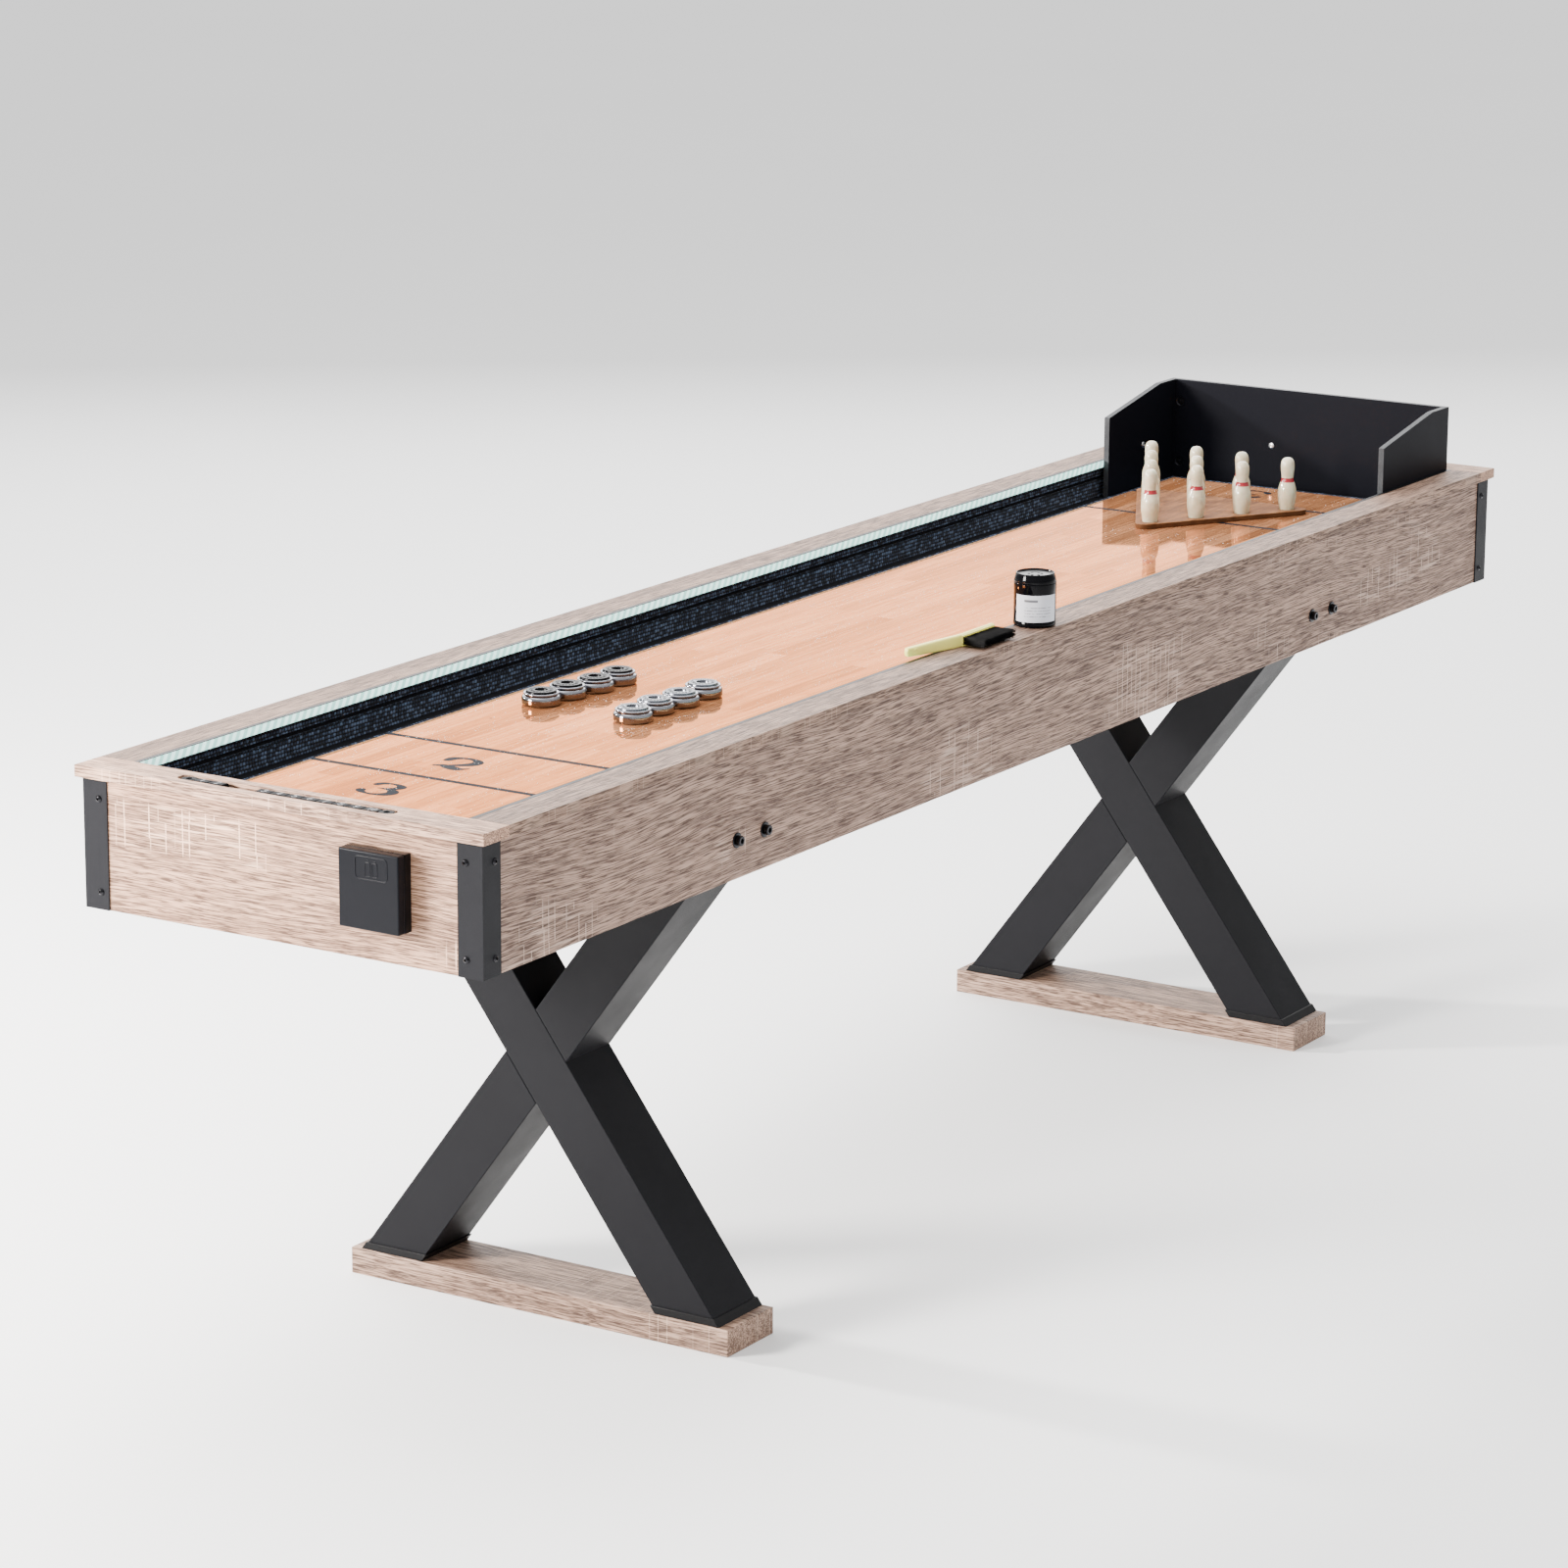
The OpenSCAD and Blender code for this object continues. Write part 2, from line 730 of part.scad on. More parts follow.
module brush_handle() {
    grip = brush_handle_end - brush_back;
    grip_l = norm(grip);
    turn = atan2(grip[1], grip[0]);
    z = table_h + rest_gap;
    color("khaki") difference() {
        union() {
            span([brush_back[0], brush_back[1] - brush_back_t / 2, z],
                 [brush_back[0] + brush_back_l, brush_back[1] + brush_back_t / 2, z + brush_h]);
            translate([brush_back[0], brush_back[1], z]) rotate([0, 0, turn]) {
                translate([0, -brush_handle_t / 2, 0]) cube([grip_l, brush_handle_t, brush_h]);
                translate([grip_l, 0, 0]) cylinder(d = brush_handle_t, h = brush_h);
                cylinder(d = brush_handle_t, h = brush_h);
            }
        }
        translate([brush_back[0], brush_back[1], z]) rotate([0, 0, turn])
            rod_y([grip_l - 8, -brush_handle_t, brush_h / 2], 5, 2 * brush_handle_t);
    }
}

module brush_bristles() {
    y_root = brush_back[1] - brush_back_t / 2;
    z = table_h + rest_gap + (brush_h - bristle_h) / 2;
    color("#131314")
        span([brush_back[0] + bristle_inset, y_root - bristle_l, z],
             [brush_back[0] + brush_back_l - bristle_inset, y_root, z + bristle_h]);
}

// Wax can

module at_can(z) {
    translate([can_pos[0], can_pos[1], table_h + rest_gap + z]) children();
}

module wax_can() {
    r = can_d / 2;
    color("#101012") at_can(0) rotate_extrude() difference() {
        polygon([[0, 0], [r - can_foot_r, 0], [r, can_foot_r], [r, can_h], [0, can_h]]);
        translate([0, can_wall]) square([r - can_wall, can_h]);
    }
}

module wax_can_lid() {
    r = can_d / 2;
    spigot_r = r - can_wall - 0.3;
    color("#101012") at_can(can_h + rest_gap) difference() {
        rotate_extrude() difference() {
            polygon([[0, -lid_spigot_h], [spigot_r, -lid_spigot_h], [spigot_r, 0], [r, 0],
                     [can_top_d / 2, lid_h], [0, lid_h]]);
            translate([0, -lid_spigot_h - 1])
                square([spigot_r - can_wall, lid_h - lid_t + lid_spigot_h + 1]);
        }
        for (a = [0:60:300]) rotate([0, 0, a]) translate([12, 0, 0]) cylinder(d = 3, h = lid_h + 1);
    }
}

apron_left();
apron_right();
apron_near();
apron_far();
rail_left();
rail_right();
rail_near();
rail_far();
playfield();
base_panel();
gutter_liners();
gutter_carpet();
corner_brackets();
bracket_screws();
led_channels();
led_diffusers();
battery_case();
battery_cover();
battery_cells();
score_rod();
score_rod_bosses();
score_beads_left();
score_beads_right();
near_leg_long_beam();
near_leg_half_beams();
near_leg_top_rail();
near_leg_floor_board();
far_leg_long_beam();
far_leg_half_beams();
far_leg_top_rail();
far_leg_floor_board();
leg_foot_caps();
leg_bolts();
backstop_left_panel();
backstop_right_panel();
backstop_back_panel();
backstop_fittings();
pin_rack();
brush_handle();
brush_bristles();
wax_can();
wax_can_lid();
for (i = [1:8]) puck(i);
for (i = [1:pin_count]) pin(i);
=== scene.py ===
"""The looks of the shuffleboard table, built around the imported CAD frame. Metres, in the frame's axes:
+X runs from the scorer end to the backstop end, +Y is the left long side and +Z is up."""

import json
import math
import random

import bmesh
import bpy
from mathutils import Matrix, Vector


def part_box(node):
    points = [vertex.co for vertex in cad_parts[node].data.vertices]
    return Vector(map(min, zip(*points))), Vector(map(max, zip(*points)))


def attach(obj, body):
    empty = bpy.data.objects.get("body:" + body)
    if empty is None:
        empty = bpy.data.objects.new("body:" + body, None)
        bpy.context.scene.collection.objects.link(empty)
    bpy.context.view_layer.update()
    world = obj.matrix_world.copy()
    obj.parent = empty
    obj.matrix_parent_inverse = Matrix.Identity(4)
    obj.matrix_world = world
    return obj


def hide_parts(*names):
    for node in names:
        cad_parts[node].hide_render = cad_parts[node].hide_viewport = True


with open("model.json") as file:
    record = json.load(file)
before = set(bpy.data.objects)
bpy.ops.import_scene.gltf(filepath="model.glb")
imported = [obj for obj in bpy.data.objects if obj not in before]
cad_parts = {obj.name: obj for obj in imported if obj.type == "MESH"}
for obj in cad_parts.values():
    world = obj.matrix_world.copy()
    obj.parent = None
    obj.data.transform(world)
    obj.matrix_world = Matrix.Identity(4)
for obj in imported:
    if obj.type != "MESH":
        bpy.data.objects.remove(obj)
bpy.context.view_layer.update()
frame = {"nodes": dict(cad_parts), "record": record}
nodes = frame["nodes"]
node_body = {n: b for b, ns in frame["record"]["behaviour"]["bodies"].items() for n in ns}
node_slot = {s["node"]: s["material_slot"] for s in frame["record"]["subparts"]}
rng = random.Random(7)


# ---------------------------------------------------------------------------------------------------
# Camera
# ---------------------------------------------------------------------------------------------------

camera_data = bpy.data.cameras.new("camera")
camera_data.sensor_width = 36
camera_data.lens = 118.98
camera_data.clip_end = 100
camera = bpy.data.objects.new("camera", camera_data)
right = Vector((0.53369589, -0.84565769, 0.00563638))
down = Vector((-0.20262924, -0.13434474, -0.96999633))
ahead = Vector((0.82104208, 0.51654096, -0.2430542))
camera.matrix_world = Matrix.Translation((-6.0390, -3.6436, 2.2971)) @ Matrix(
    (right, -down, -ahead)).transposed().to_4x4()
bpy.context.scene.collection.objects.link(camera)
bpy.context.scene.camera = camera


# ---------------------------------------------------------------------------------------------------
# Material helpers
# ---------------------------------------------------------------------------------------------------

class Value:
    """A number socket in a node tree, so that sums can be written as sums."""

    def __init__(self, m, socket):
        self.m, self.socket = m, socket

    def __add__(self, other):
        return self.m.math("ADD", self, other)

    def __sub__(self, other):
        return self.m.math("SUBTRACT", self, other)

    def __mul__(self, other):
        return self.m.math("MULTIPLY", self, other)

    def __truediv__(self, other):
        return self.m.math("DIVIDE", self, other)

    def __pow__(self, other):
        return self.m.math("POWER", self, other)

    def __abs__(self):
        return self.m.math("ABSOLUTE", self)

    def below(self, limit):
        return self.m.math("LESS_THAN", self, limit)

    def above(self, limit):
        return self.m.math("GREATER_THAN", self, limit)

    def largest(self, other):
        return self.m.math("MAXIMUM", self, other)

    def whole(self):
        return self.m.math("FLOOR", self)

    def part(self):
        return self.m.math("FRACT", self)

    def sine(self):
        return self.m.math("SINE", self)


class Nodes:
    """A material's node tree with short calls for the nodes used here. Every input may be a value or a socket."""

    INPUTS = {"color": "Base Color", "rough": "Roughness", "metal": "Metallic", "normal": "Normal",
              "coat": "Coat Weight", "coat_rough": "Coat Roughness", "specular": "Specular IOR Level",
              "glow": "Emission Color", "glow_power": "Emission Strength", "sheen": "Sheen Weight",
              "sheen_rough": "Sheen Roughness", "through": "Subsurface Weight", "through_scale": "Subsurface Scale",
              "ior": "IOR", "specular_tint": "Specular Tint"}

    def __init__(self, name):
        self.material = bpy.data.materials.new(name)
        self.material.use_nodes = True
        self.tree = self.material.node_tree
        self.shader = self.tree.nodes["Principled BSDF"]

    def feed(self, socket, value):
        """Links a socket to another one, or sets its value. A colour may be given as (r, g, b)."""
        if isinstance(value, Value):
            value = value.socket
        if isinstance(value, bpy.types.NodeSocket):
            self.tree.links.new(value, socket)
        elif isinstance(value, tuple):
            socket.default_value = (*value, 1)
        else:
            socket.default_value = value

    def add(self, kind, inputs=None, **props):
        node = self.tree.nodes.new(kind)
        for key, value in props.items():
            setattr(node, key, value)
        for key, value in (inputs or {}).items():
            self.feed(node.inputs[key], value)
        return node

    def math(self, op, a, b=0.0, clamp=False):
        return Value(self, self.add("ShaderNodeMath", {0: a, 1: b, 2: 0.0}, operation=op, use_clamp=clamp).outputs[0])

    def split(self, vector):
        return [Value(self, s) for s in self.add("ShaderNodeSeparateXYZ", {0: vector}).outputs]

    def coords(self):
        """The point in the frame, as x, y and z."""
        return self.split(self.add("ShaderNodeTexCoord").outputs["Object"])

    def facing(self):
        """The face's own normal, as x, y and z."""
        return self.split(self.add("ShaderNodeNewGeometry").outputs["True Normal"])

    def point(self, x=0.0, y=0.0, z=0.0):
        return self.add("ShaderNodeCombineXYZ", {0: x, 1: y, 2: z}).outputs[0]

    def noise(self, point, scale=1.0, detail=2.0, rough=0.5):
        return Value(self, self.add("ShaderNodeTexNoise", {
            "Vector": point, "Scale": scale, "Detail": detail, "Roughness": rough}).outputs["Fac"])

    def white(self, x, y, z):
        """One random number for each whole point."""
        return Value(self, self.add("ShaderNodeTexWhiteNoise", {"Vector": self.point(x, y, z)}).outputs["Value"])

    def fit(self, value, low, high, to_low=0.0, to_high=1.0, smooth=False):
        return Value(self, self.add("ShaderNodeMapRange", {
            "Value": value, "From Min": low, "From Max": high, "To Min": to_low, "To Max": to_high},
            interpolation_type="SMOOTHSTEP" if smooth else "LINEAR", clamp=True).outputs[0])

    def choose(self, switch, off, on):
        return Value(self, self.add("ShaderNodeMix", {0: switch, 2: off, 3: on}, data_type="FLOAT").outputs[0])

    def mix(self, factor, a, b):
        """A mix of two colours, each a socket or an (r, g, b)."""
        return self.add("ShaderNodeMix", {0: factor, 6: a, 7: b}, data_type="RGBA").outputs[2]

    def bump(self, height, strength, distance):
        return self.add("ShaderNodeBump", {"Height": height, "Strength": strength, "Distance": distance}).outputs[0]

    def out(self, **inputs):
        for key, value in inputs.items():
            self.feed(self.shader.inputs[self.INPUTS[key]], value)
        return self.material


def near_any(value, places, half):
    """1 where value is within half of one of the places, else 0."""
    total = None
    for place in places:
        hit = abs(value - place).below(half)
        total = hit if total is None else total.largest(hit)
    return total


def scaled(color, factor):
    return tuple(c * factor for c in color)


# ---------------------------------------------------------------------------------------------------
# Materials
# ---------------------------------------------------------------------------------------------------

SAW_PITCH, SAW_REACH = 0.0125, 0.052


def oak_laminate(name, along, across, depth, tone=(1.0, 1.0, 1.0), seed=0.0, saw=1.0, sweep=0.07, sawn=None):
    """Washed oak laminate. along, across and depth name the frame axes of the grain, the face and the thickness.

    sawn adds one patch of saw marks: its middle and half sizes along and across the grain.
    """
    m = Nodes(name)
    axes = dict(zip("xyz", m.coords()))
    u = axes[along] + seed
    v = axes[across] + seed * 0.37

    def stretch(a, b, c=1.0, side=v):
        return m.point(u * a, side * b, axes[depth] * c)

    def centred(value, size):
        return (value - 0.5) * size

    def tint(r, g, b):
        return r * tone[0], g * tone[1], b * tone[2]

    # Sweeping arches of the grain, small waves on them, and short ripples
    bend = centred(m.noise(stretch(1.5, 5.5), 1.0, 1.0), sweep) + centred(m.noise(stretch(5.0, 18.0)), 0.010)
    bent = v + bend + centred(m.noise(stretch(16.0, 50.0)), 0.0014)
    # Growth bands and rings
    bands = m.noise(stretch(1.3, 30.0, 26.0, bent), 1.0, 3.0, 0.6)
    rings = m.noise(stretch(4.5, 130.0, 110.0, bent), 1.0, 2.0, 0.6)
    # Dark pores: long streaks and short dashes along the grain
    streaks = m.noise(stretch(6.0, 330.0, 300.0, bent), 1.0, 2.0, 0.6)
    pores = m.noise(stretch(24.0, 620.0, 560.0, bent), 1.0, 1.5, 0.6)
    fine = m.noise(stretch(60.0, 900.0, 800.0, bent), 1.0, 1.0)
    dash = m.fit(pores, 0.505, 0.575, smooth=True)
    streak = m.fit(streaks, 0.53, 0.61, smooth=True)
    ring = m.fit(rings, 0.50, 0.62, smooth=True)
    pale = m.fit(pores, 0.47, 0.40, smooth=True)
    # Pale saw marks across the grain, in patches, with pale strokes along the grain under them
    patch = m.fit(m.noise(stretch(3.9, 8.0)), 0.53, 0.60, smooth=True)
    if sawn:
        u_mid, v_mid, u_half, v_half = sawn
        far_u = abs(axes[along] - u_mid) / u_half
        far_v = abs(axes[across] - v_mid) / v_half
        patch = patch.largest(m.fit(far_u.largest(far_v), 1.0, 0.7, smooth=True))
    cell = u / SAW_PITCH
    reach = (v / SAW_REACH + m.white(cell.whole(), 4.1, 0.0) * 5.0).whole()
    chance = m.white(cell.whole(), reach, 2.0)
    off = abs(cell.part() - (chance * 0.7 + 0.15))
    cuts = m.fit(off, 0.085, 0.045) * m.fit(chance, 0.50, 0.62)
    strokes = m.fit(m.noise(stretch(17.0, 290.0), 1.0, 1.5), 0.57, 0.66, smooth=True)
    marks = patch * (cuts * m.fit(fine, 0.30, 0.55, 0.45, 1.0)).largest(strokes * 0.75)
    color = m.mix(m.fit(bands, 0.38, 0.62), tint(0.150, 0.098, 0.073), tint(0.300, 0.210, 0.161))
    color = m.mix(pale * 0.55, color, tint(0.420, 0.310, 0.248))
    color = m.mix(ring * 0.40, color, tint(0.100, 0.061, 0.044))
    color = m.mix(streak * 0.75, color, tint(0.060, 0.036, 0.026))
    color = m.mix(dash * 0.88, color, tint(0.044, 0.026, 0.019))
    color = m.mix(m.fit(fine, 0.50, 0.62, 0.0, 0.30), color, tint(0.400, 0.300, 0.243))
    color = m.mix(m.math("MULTIPLY", marks, 0.62 * saw, clamp=True), color, tint(0.600, 0.490, 0.415))
    height = fine * 0.3 - (dash * 0.6 + streak * 0.5)
    return m.out(color=color, rough=m.fit(pores, 0.3, 0.7, 0.50, 0.66), normal=m.bump(height, 0.4, 0.0003),
                 specular=0.30)


STRIP_ROW = 0.0262
LINE_PLACES, LINE_HALF = (-1.0795, -0.9205, 0.887, 1.0445), 0.0052
DOT_X, DOT_Y, DOT_RADIUS = -0.782, 0.107, 0.002
EDGE_BAND = 0.1622


def playfield_wood():
    """Butcher-block strips with inlaid lines under a tinted gloss. The two long edges are darker and rounded."""
    m = Nodes("playfield_wood")
    x, y, z = m.coords()
    row_at = (y + 0.17) / STRIP_ROW
    row = row_at.whole()
    shift = m.white(row, 3.7, 0.0) * 1.7
    block_l = m.white(row, 9.1, 0.0) * 0.16 + 0.24
    block_at = (x + (shift + 5.0)) / block_l
    block = block_at.whole()
    tone = m.white(row, block, 1.3)
    hue = m.white(row, block, 8.9)
    slant = (hue - 0.5) * 0.02
    wave = (m.noise(m.point(x * 9.0, y * 26.0, tone * 20.0)) - 0.5) * 0.011
    across = y + wave + x * slant
    grain = m.noise(m.point(x * 7.0, across * 260.0, tone * 37.0), 1.0, 3.0, 0.62)
    fleck = m.noise(m.point(x * 120.0, across * 900.0, tone * 11.0), 1.0, 1.0)
    color = m.mix(tone, (0.290, 0.112, 0.046), (0.640, 0.300, 0.152))
    color = m.mix(hue * 0.45, color, (0.530, 0.200, 0.074))
    color = m.mix(m.fit(grain, 0.50, 0.62, 0.0, 0.60), color, (0.240, 0.084, 0.030))
    color = m.mix(m.fit(grain, 0.46, 0.36, 0.0, 0.45), color, (0.700, 0.350, 0.175))
    color = m.mix(m.fit(fleck, 0.54, 0.64, 0.0, 0.40), color, (0.200, 0.070, 0.028))
    joint_y = abs(row_at.part() - 0.5)
    joint_x = abs(block_at.part() - 0.5)
    joint = m.fit(joint_y, 0.482, 0.497).largest(m.fit(joint_x, 0.4982, 0.4998))
    color = m.mix(joint * 0.55, color, (0.28, 0.11, 0.05))
    # Edge band, inlaid lines and one small dot
    edge = m.fit(abs(y), 0.1620, 0.1632)
    color = m.mix(edge * 0.70, color, (0.400, 0.190, 0.095))
    color = m.mix(m.fit(abs(abs(y) - EDGE_BAND), 0.0009, 0.0004), color, (0.160, 0.062, 0.026))
    color = m.mix(m.fit(z, 0.7655, 0.7625), color, (0.17, 0.085, 0.042))
    lines = near_any(x, LINE_PLACES, LINE_HALF)
    dot = ((x - DOT_X) ** 2.0 + (y - DOT_Y) ** 2.0).below(DOT_RADIUS ** 2)
    printed = lines.largest(dot)
    color = m.mix(printed, color, (0.010, 0.011, 0.015))
    return m.out(color=color, metal=m.fit(printed, 0.0, 1.0, 0.55, 0.0), rough=m.fit(printed, 0.0, 1.0, 0.035, 0.5),
                 specular=0.2, ior=1.12, specular_tint=(1.0, 0.48, 0.26))


CARPET_ROW, CARPET_LOOP = 0.0054, 0.0060


def ribbed_carpet():
    """Ribbed loop pile: rows of small loops along the gutter."""
    m = Nodes("gutter_carpet")
    x, y, z = m.coords()
    end_on = abs(m.facing()[0]).above(0.7)
    along = m.choose(end_on, x, y)
    side = m.choose(end_on, y + z, z)
    wobble = m.noise(m.point(along * 30.0, side * 30.0, 0.0), 1.0, 1.0) * 0.0012
    row_at = (side + wobble) / CARPET_ROW
    row = row_at.whole()
    loop_at = along / CARPET_LOOP + m.white(row, 0.5, 0.5) * 7.0
    size = m.white(row, loop_at.whole(), 2.2)

    def hump(at):
        return (at.part() * math.pi).sine()

    height = hump(row_at) ** 0.8 * hump(loop_at) ** 0.5 * (size * 0.5 + 0.5)
    height = height + m.noise(m.point(x, y, z), 2600.0, 2.0, 0.7) * 0.35
    # Colour follows pile height: near black in the gaps between loops and rows, pale blue on the tallest loops. This is
    # painted shade in the gaps and painted highlights on the loop tops.
    color = m.mix(m.fit(height, 0.45, 0.95), (0.0008, 0.0011, 0.0026), (0.050, 0.076, 0.140))
    color = m.mix(m.fit(height * size, 0.28, 0.90, 0.0, 0.8), color, (0.150, 0.210, 0.330))
    return m.out(color=color, rough=0.9, normal=m.bump(height, 0.9, 0.0020), sheen=0.1, sheen_rough=0.5,
                 specular=0.1)


LAMP_BAND, LAMP_SLANT = 0.0150, 0.55


def diffuser_plastic():
    """Translucent mint-white strip with slanting bands where the lamps' light crosses it."""
    m = Nodes("light_diffuser")
    x, _, z = m.coords()
    band = ((x - z * LAMP_SLANT) * (2 * math.pi / LAMP_BAND)).sine() * 0.5 + 0.5
    cloud = m.noise(m.point(x * 3.0, 0.0, 0.0))
    factor = m.fit(band, 0.30, 0.70, smooth=True) * m.fit(cloud, 0.2, 0.6, 0.65, 1.0)
    color = m.mix(factor, (0.30, 0.62, 0.56), (0.66, 1.00, 0.95))
    return m.out(color=color, rough=0.28, glow=color, glow_power=2.1, coat=0.2, coat_rough=0.1,
                 normal=m.bump(band, 0.15, 0.0004))


def paint(name, color, rough=0.45, speck=900.0, depth=0.00025, spread=0.35, strength=0.35, specular=0.5,
          glow=0.0, ior=1.45):
    """Powder coat, moulded plastic or textured laminate: one colour broken by fine grain and slow patches."""
    m = Nodes(name)
    point = m.point(*m.coords())
    grain = m.noise(point, speck, 2.0, 0.6)
    patch = m.noise(point, 9.0, 3.0, 0.6)
    low = scaled(color, 1 - spread)
    high = tuple(min(1.0, c) for c in scaled(color, 1 + spread))
    shade = m.mix(m.fit(grain, 0.30, 0.70), low, high)
    shade = m.mix(m.fit(patch, 0.3, 0.7, 0.0, 0.25), shade, low)
    # glow makes the surface give off its own colour as light: painted light when the part is no lamp.
    return m.out(color=shade, rough=m.fit(patch, 0.3, 0.7, rough - 0.05, rough + 0.06),
                 normal=m.bump(grain, strength, depth), coat=0.0, coat_rough=0.08, specular=specular,
                 glow=color, glow_power=glow, ior=ior)


def metal(name, color, rough, streak=None, scratch=0.25):
    """Metal with fine wear. streak is the frame axis that drawn or turned marks run along."""
    m = Nodes(name)
    axes = m.coords()
    scale = {"y": (900.0, 20.0, 900.0), "z": (900.0, 900.0, 20.0), None: (500.0, 500.0, 500.0)}[streak]
    marks = m.noise(m.point(*[a * s for a, s in zip(axes, scale)]), 1.0, 3.0, 0.6)
    smudge = m.noise(m.point(*axes), 45.0, 3.0, 0.6)
    shade = m.mix(m.fit(marks, 0.3, 0.7), scaled(color, 0.86), color)
    shade = m.mix(m.fit(smudge, 0.5, 0.75, 0.0, 0.18), shade, scaled(color, 0.6))
    return m.out(color=shade, metal=1.0, rough=m.fit(marks * 0.6 + smudge * 0.4, 0.35, 0.65, max(0.02, rough - 0.05),
                                                     rough + 0.09), normal=m.bump(marks, scratch, 0.00006))


def plain_wood(name, light, dark, along, rough):
    """Solid wood with long streaks and pores along one axis; painted shade darkens its side faces."""
    m = Nodes(name)
    axes = dict(zip("xyz", m.coords()))

    def stretch(with_grain, over_grain):
        return m.point(*[axes[a] * (with_grain if a == along else over_grain) for a in "xyz"])

    wander = m.noise(stretch(4.0, 16.0))
    point = m.add("ShaderNodeVectorMath", {0: stretch(9.0, 130.0), 1: m.point(
        wander * 5.0, wander * 7.0, wander)}, operation="ADD").outputs[0]
    grain = m.noise(point, 1.0, 4.0, 0.6)
    pores = m.noise(stretch(90.0, 1100.0), 1.0, 1.0)
    color = m.mix(m.fit(grain, 0.36, 0.64), dark, light)
    color = m.mix(m.fit(pores, 0.56, 0.70, 0.0, 0.55), color, scaled(dark, 0.45))
    # Painted shade: faces that don't face up are darkened by their normal.
    color = m.mix(m.fit(abs(m.facing()[2]), 0.75, 0.45, 0.0, 0.8), color, scaled(dark, 0.35))
    return m.out(color=color, rough=m.fit(grain, 0.3, 0.7, rough - 0.06, rough + 0.08), coat=0.0, coat_rough=0.1,
                 specular=0.3, ior=1.12, normal=m.bump(grain - pores * 0.4, 0.25, 0.0002))


RING_Z, RING_HALF = 0.8195, 0.0032


def pin_enamel():
    """Ivory enamel over wood with a crimson ring round the neck."""
    m = Nodes("pin_enamel")
    x, y, z = m.coords()
    mottle = m.noise(m.point(x, y, z), 60.0, 3.0, 0.55)
    brushing = m.noise(m.point(x * 40.0, y * 40.0, z * 420.0))
    color = m.mix(m.fit(mottle, 0.35, 0.65), (0.500, 0.425, 0.280), (0.640, 0.570, 0.410))
    color = m.mix(m.fit(z, 0.806, 0.772, 0.0, 0.35), color, (0.430, 0.330, 0.200))
    edge = (m.noise(m.point(x, y, 0.0), 260.0, 1.0) - 0.5) * 0.0003
    color = m.mix(abs(z + edge - RING_Z).below(RING_HALF), color, (0.30, 0.004, 0.014))
    return m.out(color=color, rough=0.30, coat=0.5, coat_rough=0.09, through=0.12, through_scale=0.004,
                 normal=m.bump(mottle + brushing * 0.5, 0.16, 0.0003))


def laminate_black():
    """Black melamine face of the backstop, with a fine pebble and a slow sheen."""
    m = Nodes("backstop_laminate")
    point = m.point(*m.coords())
    pebble = m.noise(point, 1100.0, 2.0, 0.6)
    patch = m.noise(point, 5.0, 3.0)
    color = m.mix(m.fit(pebble, 0.35, 0.7), (0.0028, 0.0029, 0.0044), (0.0085, 0.0088, 0.0130))
    return m.out(color=color, rough=m.fit(patch, 0.3, 0.7, 0.40, 0.50), normal=m.bump(pebble, 0.3, 0.0002),
                 specular=0.04)


def edge_tape():
    """Grey edge tape of the backstop panels."""
    m = Nodes("backstop_edge")
    point = m.point(*m.coords())
    fibre = m.noise(point, 700.0, 3.0, 0.7)
    slow = m.noise(point, 40.0, 2.0)
    color = m.mix(m.fit(fibre, 0.3, 0.7), (0.022, 0.023, 0.026), (0.060, 0.063, 0.068))
    color = m.mix(m.fit(slow, 0.45, 0.7, 0.0, 0.5), color, (0.016, 0.017, 0.019))
    return m.out(color=color, rough=0.55, normal=m.bump(fibre, 0.3, 0.0003), specular=0.2)


def label_paper():
    """White label with blank text bars: nothing on it can be read."""
    m = Nodes("label_paper")
    x, y, z = m.coords()
    h = z - CAN_LOW.z
    angle = m.math("ARCTAN2", y - CAN_Y, x - CAN_X)
    fibre = m.noise(m.point(x, y, z), 1500.0, 2.0)
    color = m.mix(fibre, (0.50, 0.51, 0.56), (0.60, 0.61, 0.66))
    title = near_any(h, (0.0378,), 0.0016) * abs(angle - (LABEL_MID - 0.30)).below(0.36)
    words = m.noise(m.point(angle * 17.0, h * 160.0, 0.0), 1.0, 0.0).above(0.44)
    body = near_any(h, (0.0285, 0.0245, 0.0205, 0.0165), 0.0006) * (words * abs(angle - LABEL_MID).below(0.72))
    color = m.mix(title * 0.85, color, (0.03, 0.03, 0.035))
    color = m.mix(body * 0.7, color, (0.10, 0.10, 0.115))
    return m.out(color=color, rough=0.45, normal=m.bump(fibre, 0.1, 0.0002))


CAN_LOW, CAN_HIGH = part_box("wax_can")
CAN_X, CAN_Y = (CAN_LOW.x + CAN_HIGH.x) / 2, (CAN_LOW.y + CAN_HIGH.y) / 2
LABEL_MID = math.radians(-146)

